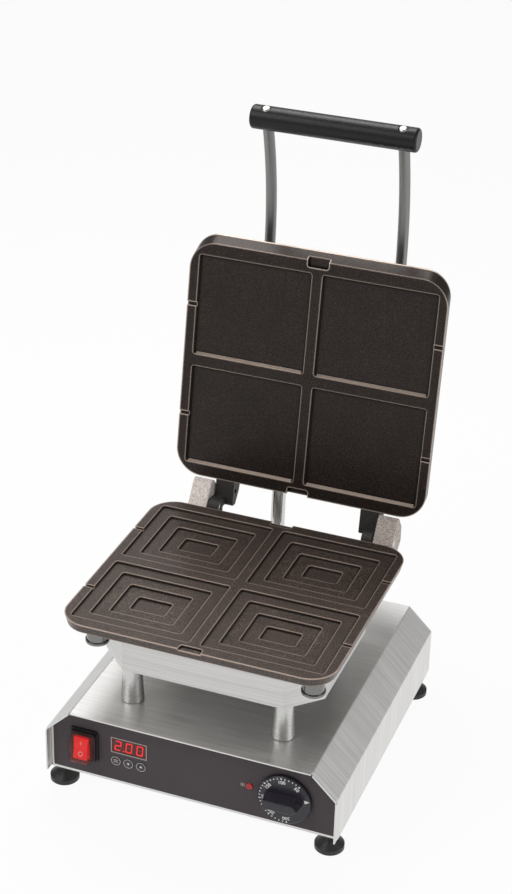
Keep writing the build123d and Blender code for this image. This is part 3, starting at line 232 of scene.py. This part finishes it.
brush_depth, bend_radius = 0.00002, 0.001
lines_across, level_lines = (90, 1, 90), (90, 90, 1)
# The last colour is a painted highlight for the folds
sheet_colour, sheet_roughness, bend_highlight_colour = "#e9e8e6", 0.44, "#f6f6f5"
sheet_steel = brushed_steel(
    "brushed_stainless_sheet", sheet_colour, sheet_roughness, lines_across, brush_depth
)
tree, shader = sheet_steel.node_tree, sheet_steel.node_tree.nodes["Principled BSDF"]
# Painted highlight: where the rounded normal turns away from the flat one, at the folds, the
# sheet is painted paler and less metallic
rounded = node(tree, "Bevel", {"Radius": bend_radius}, samples=8).outputs[0]
flat = node(tree, "NewGeometry").outputs["Normal"]
turned = node(tree, "VectorMath", {0: rounded, 1: flat}, operation="DOT_PRODUCT")
bend_glint_mask = ranged(tree, turned.outputs["Value"], 1, 0, 0.93, 0.995)
brushed_colour = shader.inputs["Base Color"].links[0].from_socket
tree.links.new(mixed(tree, bend_glint_mask, brushed_colour, bend_highlight_colour), shader.inputs["Base Color"])
tree.links.new(ranged(tree, bend_glint_mask, 1, 0.25, 0, 1), shader.inputs["Metallic"])
shader.inputs["Anisotropic"].default_value = 0.6
tree.links.new(node(tree, "CombineXYZ", {"Y": 1.0}).outputs[0], shader.inputs["Tangent"])
dress(sheet_steel, "base_housing", "base_floor")
rear_steel = brushed_steel("brushed_rear_sheet", "#d6d5d3", 0.38, level_lines, brush_depth)
dress(rear_steel, "rear_panel")

# Screws, bolts, studs, pins and nuts that hold the machine together: turned and pressed
# steel with a bright zinc plating, a little dull where it was handled
plated, tree, shader = finish("zinc_plate", "#c2c2bc", 0.24, 1.0)
plating = grain(tree, 0.0015)
tree.links.new(ranged(tree, plating, 0.18, 0.36), shader.inputs["Roughness"])
tree.links.new(mixed(tree, plating, "#aeaea6", "#cfcfca"), shader.inputs["Base Color"])
relief(tree, shader, plating, 0.00003, 0.0003)
plated_nodes = (
    "case_screws",
    "foot_bolts",
    "leg_bolts",
    "lower_plate_studs",
    "upper_plate_studs",
    "hinge_post_bolts",
    "hinge_arm_bolts",
    "hinge_pins",
    "handle_nuts",
    "handle_screws",
    "thermostat_spindle",
)
dress(plated, *plated_nodes)

# Feet: four black rubber feet, each a disc and a cone moulded in one, held by a bolt
# that goes up through it
rubber, tree, shader = finish("foot_rubber", "#1d1d1d", 0.55)
rubber_dust = grain(tree, 0.0011, detail=6.0)
tree.links.new(ranged(tree, rubber_dust, 0.34, 0.5), shader.inputs["Roughness"])
tree.links.new(mixed(tree, rubber_dust, "#171717", "#262626"), shader.inputs["Base Color"])
relief(tree, shader, rubber_dust, 0.00006, 0.0008)
dress(rubber, "foot_front_left", "foot_front_right", "foot_rear_left", "foot_rear_right")

# Front panel: a steel sheet under a dark brown-grey printed film with a fine matt surface;
# the film stops a little short of the sheet's ends and of its lower edge
film_margin, film_rise, bare_roughness = 0.0024, 0.0012, 0.36
panel_low, panel_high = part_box("front_panel")
film, tree, shader = finish("printed_film", "#443e3f", 0.65)
silk = grain(tree, 0.0005, detail=2.0)
shading = grain(tree, 0.06, detail=1.0)
panel_place = node(tree, "TexCoord").outputs["Object"]
across, _, up = node(tree, "SeparateXYZ", {0: panel_place}).outputs
off_centre = node(tree, "Math", {0: across}, operation="ABSOLUTE").outputs[0]
film_end, film_foot = panel_high.x - film_margin, panel_low.z + film_rise
past_end = node(tree, "Math", {0: off_centre, 1: film_end}, operation="GREATER_THAN").outputs[0]
below_film = node(tree, "Math", {0: up, 1: film_foot}, operation="LESS_THAN").outputs[0]
bare = node(tree, "Math", {0: past_end, 1: below_film}, operation="MAXIMUM").outputs[0]
printed = mixed(tree, shading, "#4f484b", "#575054")
tree.links.new(mixed(tree, bare, printed, "#dededc"), shader.inputs["Base Color"])
tree.links.new(bare, shader.inputs["Metallic"])
matt = ranged(tree, silk, 0.6, 0.7)
factor_in, first_in, second_in = 0, 2, 3
film_gloss = {factor_in: bare, first_in: matt, second_in: bare_roughness}
film_rough = node(tree, "Mix", film_gloss, data_type="FLOAT").outputs[0]
tree.links.new(film_rough, shader.inputs["Roughness"])
shader.inputs["Specular IOR Level"].default_value = 0.3
relief(tree, shader, silk, 0.00001, 0.0003)
dress(film, "front_panel")


# Print on the panel: a small heat sign beside the lamp. Every printed mark is a thin
# layer of pale ink laid on the surface under it.
def surface_at(name, x, z):
    """The point and the normal where a line from the front meets a CAD node."""
    _, place, normal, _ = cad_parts[name].ray_cast((x, -1, z), (0, 1, 0))
    return place, normal


def flat_mark(name, corners, radius, place, turn=0.0):
    """A flat mark of three or more corners, the first one up, turned clockwise."""
    bpy.ops.object.select_all(action="DESELECT")
    bpy.ops.mesh.primitive_circle_add(
        vertices=corners,
        radius=radius,
        fill_type="NGON",
        location=place,
        rotation=(pi / 2, turn, 0),
    )
    bpy.context.object.name = name
    return bpy.context.object


def lay_ink(mark, thickness, material, body):
    """Gives a flat mark its thickness and colour, and fixes it to a body."""
    bpy.ops.object.select_all(action="DESELECT")
    mark.select_set(True)
    bpy.context.view_layer.objects.active = mark
    bpy.ops.object.transform_apply(location=True, rotation=True, scale=True)
    layer = mark.modifiers.new("layer", "SOLIDIFY")
    layer.thickness = thickness
    layer.offset = 0.0
    bpy.ops.object.modifier_apply(modifier=layer.name)
    mark.data.materials.clear()
    mark.data.materials.append(material)
    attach(mark, body)


def joined(marks, name):
    """Several marks made one piece."""
    bpy.ops.object.select_all(action="DESELECT")
    for mark in marks:
        mark.select_set(True)
    bpy.context.view_layer.objects.active = marks[0]
    bpy.ops.object.join()
    marks[0].name = name
    return marks[0]


def ink(name, colour, dark, light):
    """Printing ink, a little uneven."""
    material, tree, shader = finish(name, colour, 0.45)
    specks = grain(tree, 0.0004)
    tree.links.new(mixed(tree, specks, dark, light), shader.inputs["Base Color"])
    relief(tree, shader, specks, 0.00001, 0.0001)
    return material


ink_thickness = 0.0001
white_ink = ink("white_ink", "#f4f2f0", "#ecebe9", "#fbfaf9")
grey_ink = ink("grey_ink", "#bdb7b6", "#b0aaa9", "#cac4c3")

heat_sign_x, heat_sign_z = 0.0564, 0.0587
heat_sign_height, heat_sign_pitch = 0.006, 0.0016
heat_stroke, heat_stroke_slimness = 0.0008, 0.6
sign_place, _ = surface_at("front_panel", heat_sign_x, heat_sign_z)
strokes = []
for i in (-1, 0, 1):
    stroke_place = (heat_sign_x + i * heat_sign_pitch, sign_place.y, heat_sign_z)
    stroke = flat_mark("heat_stroke", 4, heat_stroke, stroke_place)
    stroke.scale = (heat_stroke_slimness, heat_sign_height / heat_stroke / 2, 1)
    strokes.append(stroke)
heat_sign = joined(strokes, "heat_sign")
lay_ink(heat_sign, ink_thickness, grey_ink, "base")

# Power switch: a black moulded bezel and body, with a red rocker that carries the signs
# I and O, under a clear soft cap that keeps crumbs and water out
moulded, tree, shader = finish("black_moulding", "#191819", 0.38)
spark_texture = grain(tree, 0.0007, detail=5.0)
tree.links.new(ranged(tree, spark_texture, 0.3, 0.46), shader.inputs["Roughness"])
tree.links.new(mixed(tree, spark_texture, "#141314", "#201f20"), shader.inputs["Base Color"])
relief(tree, shader, spark_texture, 0.00004, 0.0005)
dress(moulded, "switch_body", "cord_gland", "thermostat_body", "timer_controller")

red_rocker, tree, shader = finish("red_rocker", "#e3141b", 0.3)
moulding_flow = grain(tree, 0.004)
tree.links.new(mixed(tree, moulding_flow, "#d40f16", "#f02228"), shader.inputs["Base Color"])
relief(tree, shader, moulding_flow, 0.00004, 0.0004)
shader.inputs["Emission Color"].default_value = (*linear("#e01018"), 1)
shader.inputs["Emission Strength"].default_value = 0.25
dress(red_rocker, "power_rocker")

clear_cap, tree, shader = finish("clear_cap", "#ffd0cc", 0.04)
shader.inputs["Transmission Weight"].default_value = 0.97
shader.inputs["IOR"].default_value = 1.12
cap_wear = grain(tree, 0.003)
tree.links.new(ranged(tree, cap_wear, 0.03, 0.1), shader.inputs["Roughness"])
relief(tree, shader, cap_wear, 0.00002, 0.0008)
dress(clear_cap, "splash_cover")

rocker_low, rocker_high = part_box("power_rocker")
rocker_x = (rocker_low.x + rocker_high.x) / 2
rocker_middle = (rocker_low.z + rocker_high.z) / 2
sign_offset, sign_height = 0.0062, 0.0048
sign_stroke, sign_slimness = 0.0009, 0.9
off_ring_outer, off_ring_inner = 0.0028, 0.0018
upper_place, upper_normal = surface_at("power_rocker", rocker_x, rocker_middle + sign_offset)
lower_place, lower_normal = surface_at("power_rocker", rocker_x, rocker_middle - sign_offset)
on_sign = flat_mark("rocker_on_sign", 4, sign_stroke, (0, 0, 0), pi / 4)
bpy.ops.object.transform_apply(location=False, rotation=True, scale=False)
on_sign.scale = (sign_slimness, 1, sign_height / sign_stroke / 2 ** 0.5)
bpy.ops.object.transform_apply(location=False, rotation=False, scale=True)
on_sign.rotation_mode = "QUATERNION"
on_sign.rotation_quaternion = Vector((0, -1, 0)).rotation_difference(upper_normal)
on_sign.location = upper_place + upper_normal * ink_thickness / 2
lay_ink(on_sign, ink_thickness, white_ink, "power_rocker")


def ring_mark(name, outer, inner, place, normal):
    """A flat ring facing along a normal."""
    sides = 40
    ring = flat_mark(name, sides, outer, (0, 0, 0))
    bpy.ops.object.mode_set(mode="EDIT")
    bpy.ops.mesh.select_all(action="SELECT")
    bpy.ops.mesh.inset(thickness=outer - inner)
    bpy.ops.mesh.delete(type="FACE")
    bpy.ops.object.mode_set(mode="OBJECT")
    ring.rotation_mode = "QUATERNION"
    ring.rotation_quaternion = normal.to_track_quat("Z", "Y")
    ring.location = place
    return ring


off_place = lower_place + lower_normal * ink_thickness / 2
off_sign = ring_mark("rocker_off_sign", off_ring_outer, off_ring_inner, off_place, lower_normal)
lay_ink(off_sign, ink_thickness, white_ink, "power_rocker")

# Display: a dark red window in a thin pale frame, showing three digits of seven bars and
# a point; the bars that are lit glow red, and the others show faintly
pale_frame, tree, shader = finish("pale_frame", "#b9a9a6", 0.4, 0.3)
frame_specks = grain(tree, 0.0005)
tree.links.new(mixed(tree, frame_specks, "#a89895", "#c8bab7"), shader.inputs["Base Color"])
relief(tree, shader, frame_specks, 0.00001, 0.0002)
dress(pale_frame, "display_frame")

red_window, tree, shader = finish("dark_red_window", "#4e0d10", 0.16)
window_depth = grain(tree, 0.006)
tree.links.new(mixed(tree, window_depth, "#450a0d", "#5b1215"), shader.inputs["Base Color"])
tree.links.new(ranged(tree, window_depth, 0.12, 0.22), shader.inputs["Roughness"])
dress(red_window, "display_window")

lit_bar, tree, shader = finish("lit_bar", "#ff1a12", 0.4)
bar_glow = grain(tree, 0.001)
tree.links.new(mixed(tree, bar_glow, "#f50d08", "#ff2a20"), shader.inputs["Base Color"])
tree.links.new(mixed(tree, bar_glow, "#f50d08", "#ff2a20"), shader.inputs["Emission Color"])
shader.inputs["Emission Strength"].default_value = 0.6
unlit_bar, tree, shader = finish("unlit_bar", "#7d2528", 0.4)
bar_specks = grain(tree, 0.001)
tree.links.new(mixed(tree, bar_specks, "#74191c", "#823034"), shader.inputs["Base Color"])

window_low, window_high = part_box("display_window")
window_centre = (window_low + window_high) / 2
digit_height, digit_width, digit_pitch, bar_width = 0.0130, 0.0082, 0.0122, 0.0020
digit_slant = radians(5)
bar_thickness, bar_gap, bar_tip_share = 0.0001, 0.0002, 0.28
bar_front = window_low.y - bar_thickness / 2
half_height = (digit_height - bar_width) / 2
half_width = (digit_width - bar_width) / 2
off_middle = 1e-6
bars = {  # across and up from the digit's middle, and 1 for an upright bar
    "a": (0, half_height, 0),
    "g": (0, 0, 0),
    "d": (0, -half_height, 0),
    "f": (-half_width, half_height / 2, 1),
    "b": (half_width, half_height / 2, 1),
    "e": (-half_width, -half_height / 2, 1),
    "c": (half_width, -half_height / 2, 1),
}
shapes = {"2": "abged", "0": "abcdef"}
lit, unlit = [], []
for i, digit in enumerate("200"):
    for bar_name, (x, z, upright) in bars.items():
        length = (half_height if upright else 2 * half_width) - 2 * bar_gap
        bar = flat_mark("bar", 4, bar_width / 2, (0, 0, 0), pi / 2 if upright else 0)
        bpy.ops.object.mode_set(mode="EDIT")
        bpy.ops.mesh.select_all(action="SELECT")
        bpy.ops.mesh.bevel(offset=bar_width * bar_tip_share, affect="VERTICES")
        bpy.ops.object.mode_set(mode="OBJECT")
        bpy.ops.object.transform_apply(location=True, rotation=True, scale=True)
        stretch = length / 2 - bar_width / 4
        for corner in bar.data.vertices:
            along = corner.co.z if upright else corner.co.x
            push = stretch if along > off_middle else -stretch if along < -off_middle else 0
            corner.co += Vector((0, 0, push)) if upright else Vector((push, 0, 0))
            corner.co += Vector((x, 0, z))
            corner.co.x += corner.co.z * sin(digit_slant)
        bar.location = (window_centre.x + (i - 1) * digit_pitch, bar_front, window_centre.z)
        (lit if bar_name in shapes[digit] else unlit).append(bar)
point_radius = 0.0008
point_place = (window_centre.x - digit_pitch / 2, bar_front, window_centre.z - half_height)
lit.append(flat_mark("point", 16, point_radius, point_place))
lay_ink(joined(lit, "display_lit_bars"), bar_thickness, lit_bar, "base")
lay_ink(joined(unlit, "display_unlit_bars"), bar_thickness, unlit_bar, "base")

# Keys: three round film keys in the panel's colour, each with a thin white ring and a
# sign: two bars for the program, a point down and a point up
key_film, tree, shader = finish("key_film", "#403a3b", 0.42)
key_silk = grain(tree, 0.0005)
tree.links.new(mixed(tree, key_silk, "#3a3435", "#464041"), shader.inputs["Base Color"])
relief(tree, shader, key_silk, 0.00002, 0.0004)
dress(key_film, "key_program", "key_down", "key_up")

key_ring_outer, key_ring_inner = 0.0053, 0.0049
key_sign_size, key_sign_slimness = 0.0021, 0.9
key_bar_size, key_bar_rise, key_bar_stretch = 0.0008, 0.0011, (4.2, 1, 0.9)
for key, turn in (("key_program", None), ("key_down", pi), ("key_up", 0.0)):
    key_low, key_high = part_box(key)
    key_x, key_z = (key_low.x + key_high.x) / 2, (key_low.z + key_high.z) / 2
    key_place, key_normal = surface_at(key, key_x, key_z)
    ring = ring_mark(key + "_ring", key_ring_outer, key_ring_inner, key_place, key_normal)
    lay_ink(ring, ink_thickness, white_ink, key)
    if turn is None:
        signs = []
        for rise in (-key_bar_rise, key_bar_rise):
            sign = flat_mark("sign", 4, key_bar_size, (key_x, key_place.y, key_z + rise))
            sign.rotation_euler.y = pi / 4
            bpy.ops.object.transform_apply(location=False, rotation=True, scale=False)
            sign.scale = key_bar_stretch
            signs.append(sign)
        lay_ink(joined(signs, key + "_sign"), ink_thickness, grey_ink, key)
    else:
        sign_place = (key_x, key_place.y, key_z)
        sign = flat_mark(key + "_sign", 3, key_sign_size, sign_place, turn)
        sign.scale = (key_sign_slimness, key_sign_slimness, 1)
        lay_ink(sign, ink_thickness, white_ink, key)

# Indicator lamp: a small domed lens of clear red plastic, set in a round hole in the
# front panel beside the knob
lens, tree, shader = finish("red_lens", "#b80c12", 0.14)
lens_depth = grain(tree, 0.002)
tree.links.new(mixed(tree, lens_depth, "#a5090e", "#c81219"), shader.inputs["Base Color"])
shader.inputs["Coat Weight"].default_value = 0.2
shader.inputs["Coat Roughness"].default_value = 0.05
relief(tree, shader, lens_depth, 0.00003, 0.0003)
dress(lens, "indicator_lamp")

# Thermostat knob: a black moulded dial with a raised grip bar, on the thermostat's
# spindle; its skirt is printed in white with temperatures from 50 to 300, a mark for
# every ten, and a triangle between the last of them and the first
dial_black, tree, shader = finish("dial_moulding", "#2a2732", 0.3)
dial_texture = grain(tree, 0.0008, detail=5.0)
tree.links.new(ranged(tree, dial_texture, 0.24, 0.36), shader.inputs["Roughness"])
tree.links.new(mixed(tree, dial_texture, "#242129", "#34313c"), shader.inputs["Base Color"])
relief(tree, shader, dial_texture, 0.00005, 0.0006)
dress(dial_black, "thermostat_knob")

knob_low, knob_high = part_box("thermostat_knob")
knob_centre = (knob_low + knob_high) / 2
knob_radius = (knob_high.x - knob_low.x) / 2
tick_ring, number_ring, pointer_ring = 0.92, 0.76, 0.85  # shares of the radius
tick_size, major_tick_size, mark_stretch = 0.001, 0.0013, (0.8, 1.2, 1)
number_size, number_boldness = 0.0055, 0.0002
pointer_size, pointer_turn = 0.0032, radians(78.5)
skirt, _ = surface_at("thermostat_knob", knob_centre.x, knob_centre.z + knob_radius * tick_ring)
dial_centre = Vector((knob_centre.x, skirt.y - ink_thickness / 2, knob_centre.z))
degrees_at_top, turn_per_degree = 91, radians(0.9)
marks = []
for heat in range(50, 301, 10):
    turn = (degrees_at_top - heat) * turn_per_degree
    outward = Vector((sin(turn), 0, cos(turn)))
    major = heat % 50 == 0
    tick_place = dial_centre + outward * knob_radius * tick_ring
    tick = flat_mark("tick", 4, major_tick_size if major else tick_size, tick_place, turn)
    tick.scale = mark_stretch
    marks.append(tick)
    if major:
        place = dial_centre + outward * knob_radius * number_ring
        bpy.ops.object.select_all(action="DESELECT")
        bpy.ops.object.text_add(location=place, rotation=(pi / 2, turn, 0))
        number = bpy.context.object
        number.data.body = str(heat)
        number.data.size = number_size
        number.data.align_x = "CENTER"
        number.data.align_y = "CENTER"
        number.data.resolution_u = 3
        number.data.offset = number_boldness
        bpy.ops.object.convert(target="MESH")
        marks.append(bpy.context.object)
outward = Vector((sin(pointer_turn), 0, cos(pointer_turn)))
pointer_place = dial_centre + outward * knob_radius * pointer_ring
pointer = flat_mark("pointer", 3, pointer_size, pointer_place, pointer_turn)
pointer.scale = mark_stretch
marks.append(pointer)
lay_ink(joined(marks, "dial_print"), ink_thickness, white_ink, "thermostat_knob")

# Terminal block: a strip of pale glazed ceramic inside the base, near the mains cord's
# gland, where the wires are clamped
ceramic, tree, shader = finish("glazed_ceramic", "#d9d4c6", 0.32)
glaze = grain(tree, 0.003)
tree.links.new(mixed(tree, glaze, "#cfc9ba", "#e2ddd0"), shader.inputs["Base Color"])
relief(tree, shader, glaze, 0.00005, 0.0004)
dress(ceramic, "terminal_block")

# Legs: four turned columns of satin stainless steel, with fine rings from the lathe,
# bolted through the top of the base
turned_steel, tree, shader = finish("polished_turned_steel", "#cfcfcd", 0.24, 1.0)
lathe_rings = grain(tree, 0.0005, level_lines, 2.0)
tree.links.new(ranged(tree, lathe_rings, 0.25, 0.28), shader.inputs["Roughness"])
tree.links.new(mixed(tree, lathe_rings, "#c9c9c7", "#d2d2d0"), shader.inputs["Base Color"])
dress(turned_steel, "leg_front_left", "leg_front_right", "leg_rear_left", "leg_rear_right")

# Heater housings: eight-sided boxes of pale brushed sheet under the lower plate and on
# the lid; the lower one is brushed round its walls and the lid's one from side to side
pan_steel = brushed_steel("brushed_pan", "#d8d7d5", 0.4, level_lines, brush_depth)
dress(pan_steel, "lower_heater_housing")
lid_lean = radians(9)
across_the_lid = (90, 3, 1)
lid_pan_steel = brushed_steel(
    "brushed_lid_pan", "#cccbc9", 0.38, across_the_lid, brush_depth, (lid_lean, 0, 0)
)
dress(lid_pan_steel, "upper_heater_housing")

# Inside the housings: a pale mineral board, a bent heating tube of annealed steel, and
# in the lower one a slim probe of the same steel
board, tree, shader = finish("mineral_board", "#cdbf9f", 0.9)
fibres = grain(tree, 0.0012, (8, 1, 1), 6.0, (0.3, 0.2, 0.6))
tree.links.new(mixed(tree, fibres, "#b4a37f", "#e0d5ba"), shader.inputs["Base Color"])
relief(tree, shader, fibres, 0.0004, 0.0005)
dress(board, "lower_insulation", "upper_insulation")
heated_tube, tree, shader = finish("annealed_tube", "#5b534d", 0.42, 0.9)
scale_film = grain(tree, 0.008, detail=5.0)
tree.links.new(mixed(tree, scale_film, "#453d3c", "#75695c"), shader.inputs["Base Color"])
tree.links.new(ranged(tree, scale_film, 0.34, 0.55), shader.inputs["Roughness"])
relief(tree, shader, grain(tree, 0.0008), 0.00004, 0.0003)
dress(heated_tube, "lower_heating_element", "upper_heating_element", "lower_temperature_probe")


# Baking plates: cast aluminium under a dark brown non-stick coating, finely speckled by
# the casting's grain, with a painted highlight along its ridges and painted shade in its
# corners; the lid's ledges that face up when it is open get a painted highlight too, and
# the lower plate's underside is painted pale as well, lightening what the steel below mirrors
def plate_coating(name, dark, light, ridge_highlight_colour, gloss, painted_light_side):
    """Non-stick coating on a casting, with a painted highlight at its ridges and where it faces
    one way, and painted shade in its corners.
    """
    corner_reach, ridge_reach, edge = 0.0035, 0.0016, 0.0007
    material, tree, shader = finish(name, dark, 0.35, 0.45)
    casting_grain = grain(tree, 0.0011, detail=3.0)
    blotches = grain(tree, 0.03, detail=2.0)
    speckled = mixed(tree, ranged(tree, casting_grain, 0, 1, 0.44, 0.7), dark, light)
    cloudy = mixed(tree, ranged(tree, blotches, 0, 0.3), speckled, dark)
    near = {"samples": 8, "only_local": True}
    open_side = node(tree, "AmbientOcclusion", {"Distance": corner_reach}, **near)
    metal_side = node(tree, "AmbientOcclusion", {"Distance": ridge_reach}, inside=True, **near)
    # Painted shade: corners that the outside occlusion finds closed in are darkened to near
    # black
    corner = ranged(tree, open_side.outputs["AO"], 1, 0, 0.65, 0.98)
    # Painted highlight: convex ridges, found by the occlusion inside the metal, are painted
    # pale
    ridge_highlight_mask = ranged(tree, metal_side.outputs["AO"], 1, 0, 0.65, 0.95)
    # Painted light: faces turned to the given side are painted pale
    normal = node(tree, "TexCoord").outputs["Normal"]
    facing = node(tree, "VectorMath", {0: normal, 1: painted_light_side}, operation="DOT_PRODUCT")
    turned_off, turned_to = 0.9975, 0.9995
    painted_facing_light = ranged(tree, facing.outputs["Value"], 0, 1, turned_off, turned_to)
    shaded = mixed(tree, corner, cloudy, "#0c0a09")
    facing_light_colour = mixed(tree, painted_facing_light, shaded, ridge_highlight_colour)
    tree.links.new(mixed(tree, ridge_highlight_mask, facing_light_colour, ridge_highlight_colour), shader.inputs["Base Color"])
    tree.links.new(ranged(tree, casting_grain, 0.29, 0.42), shader.inputs["Roughness"])
    shader.inputs["Coat Weight"].default_value = gloss
    shader.inputs["Coat Roughness"].default_value = 0.22
    shader.inputs["Specular IOR Level"].default_value = gloss
    relief(tree, shader, casting_grain, 0.00004, edge)
    return material


# Each coating gets a painted highlight colour and a side that is painted pale: the lid's
# up-facing ledges, and the lower plate's underside
underside, upper_ledges = (0, 0, -1), (0, -0.2756, 0.9613)
lower_coating = plate_coating(
    "lower_plate_coating", "#362d29", "#7a6a60", "#b39f92", 0.35, underside
)
dress(lower_coating, "lower_baking_plate")
upper_coating = plate_coating(
    "upper_plate_coating", "#221b18", "#4a3e37", "#c9b6a8", 0.2, upper_ledges
)
dress(upper_coating, "upper_baking_plate")

# Thumb nuts: round chromed nuts, each with a flange, run up by hand on the two studs
# at the front of each plate
chrome, tree, shader = finish("chrome", "#7f7f7d", 0.12, 1.0)
handling = grain(tree, 0.004, detail=4.0)
tree.links.new(ranged(tree, handling, 0.1, 0.2), shader.inputs["Roughness"])
relief(tree, shader, grain(tree, 0.0004, (1, 1, 12)), 0.000004, 0.0004)
thumb_nuts = (
    "lower_plate_nut_left",
    "lower_plate_nut_right",
    "upper_plate_nut_left",
    "upper_plate_nut_right",
)
dress(chrome, *thumb_nuts)


# Hinge: posts and arms sand-cast in aluminium, the posts grainy, in a lit and a shaded copy
# of one casting, painted pale for the left post as lit from the left and darker and browner
# for the right one as in shade, and the arms coated dark
def casting(name, dark, light, roughness, metallic, depth):
    """Sand-cast metal: a coarse grain in colour, gloss and relief."""
    gloss_spread, edge = 0.1, 0.001
    material, tree, shader = finish(name, dark, roughness, metallic)
    sand = grain(tree, 0.0011, detail=5.0)
    spots = ranged(tree, sand, 0, 1, 0.36, 0.62)
    tree.links.new(mixed(tree, spots, dark, light), shader.inputs["Base Color"])
    rough = ranged(tree, sand, roughness + gloss_spread, roughness - gloss_spread)
    tree.links.new(rough, shader.inputs["Roughness"])
    relief(tree, shader, sand, depth, edge)
    return material


bare_depth, coated_depth = 0.00018, 0.0001
# Painted light: the same casting in a lit copy for the left post and a shaded copy for the
# right
lit_pale_casting = casting("lit_pale_casting", "#c2b6ad", "#fbf1ea", 0.5, 0.15, bare_depth)
dress(lit_pale_casting, "hinge_post_left")
shaded_brown_casting = casting("shaded_brown_casting", "#857971", "#cfc3bb", 0.5, 0.15, bare_depth)
dress(shaded_brown_casting, "hinge_post_right")
dark_casting = casting("dark_casting", "#2a2725", "#3b3734", 0.6, 0.0, coated_depth)
dress(dark_casting, "hinge_arm_left", "hinge_arm_right")

# Handle: two bent rods of satin stainless steel, nutted to the lid's housing, and a
# black moulded bar across them, held by two cross-head screws
satin_steel, tree, shader = finish("satin_rod", "#8a8a88", 0.42, 1.0)
drawn_lines = grain(tree, 0.0005, (1, 12, 60))
tree.links.new(ranged(tree, drawn_lines, 0.41, 0.49), shader.inputs["Roughness"])
relief(tree, shader, drawn_lines, 0.000003, 0.0003)
dress(satin_steel, "handle_rod_left", "handle_rod_right")

grip_plastic, tree, shader = finish("grip_moulding", "#1c1c1d", 0.34)
grip_texture = grain(tree, 0.0008, (6, 1, 1), 5.0)
tree.links.new(ranged(tree, grip_texture, 0.27, 0.42), shader.inputs["Roughness"])
tree.links.new(mixed(tree, grip_texture, "#121213", "#1d1d1e"), shader.inputs["Base Color"])
shader.inputs["Specular IOR Level"].default_value = 0.3
relief(tree, shader, grip_texture, 0.00004, 0.0008)
dress(grip_plastic, "handle_grip")

# Wiring conduit: a smooth polished steel sleeve for the upper heater's wires, from the
# base to the lid, gripped by a hexagonal gland at each end; the real sleeve bends as the
# lid moves, and here it is a fixed tube along its route at rest
tube_steel, tree, shader = finish("polished_tube", "#cfcfcd", 0.16, 1.0)
tube_lines = grain(tree, 0.0006, (1, 1, 30))
tree.links.new(ranged(tree, tube_lines, 0.12, 0.24), shader.inputs["Roughness"])
relief(tree, shader, tube_lines, 0.000006, 0.0003)
dress(plated, "conduit_gland_lower", "conduit_gland_upper")

conduit_radius = 0.008
conduit_rise, conduit_entry = 0.040, 0.030
lower_low, lower_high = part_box("conduit_gland_lower")
lower_middle = (lower_low + lower_high) / 2
upper_middle = (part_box("conduit_gland_upper")[0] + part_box("conduit_gland_upper")[1]) / 2
gland_height = lower_high.z - lower_low.z
lid_down = Vector((0, -sin(lid_lean), -cos(lid_lean)))
conduit_start = Vector((lower_middle.x, lower_middle.y, lower_high.z))
conduit_end = upper_middle + lid_down * gland_height / 2
conduit_route = (
    conduit_start,
    conduit_start + Vector((0, 0, conduit_rise)),
    conduit_end + lid_down * conduit_entry,
    conduit_end,
)
conduit_curve = bpy.data.curves.new("wiring_sleeve", "CURVE")
conduit_curve.dimensions = "3D"
conduit_curve.bevel_depth = conduit_radius
conduit_curve.bevel_resolution = 10
conduit_curve.use_fill_caps = True
conduit_line = conduit_curve.splines.new("NURBS")
conduit_line.points.add(len(conduit_route) - 1)
for point, place in zip(conduit_line.points, conduit_route):
    point.co = (*place, 1)
conduit_line.order_u = 3
conduit_line.use_endpoint_u = True
conduit_line.resolution_u = 16
wiring_sleeve = bpy.data.objects.new("wiring_sleeve", conduit_curve)
bpy.context.collection.objects.link(wiring_sleeve)
bpy.ops.object.select_all(action="DESELECT")
wiring_sleeve.select_set(True)
bpy.context.view_layer.objects.active = wiring_sleeve
bpy.ops.object.convert(target="MESH")
wiring_sleeve = bpy.context.object
bpy.ops.object.shade_smooth_by_angle(angle=radians(35))
wiring_sleeve.data.materials.clear()
wiring_sleeve.data.materials.append(tube_steel)
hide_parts("wiring_conduit")
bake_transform(wiring_sleeve)
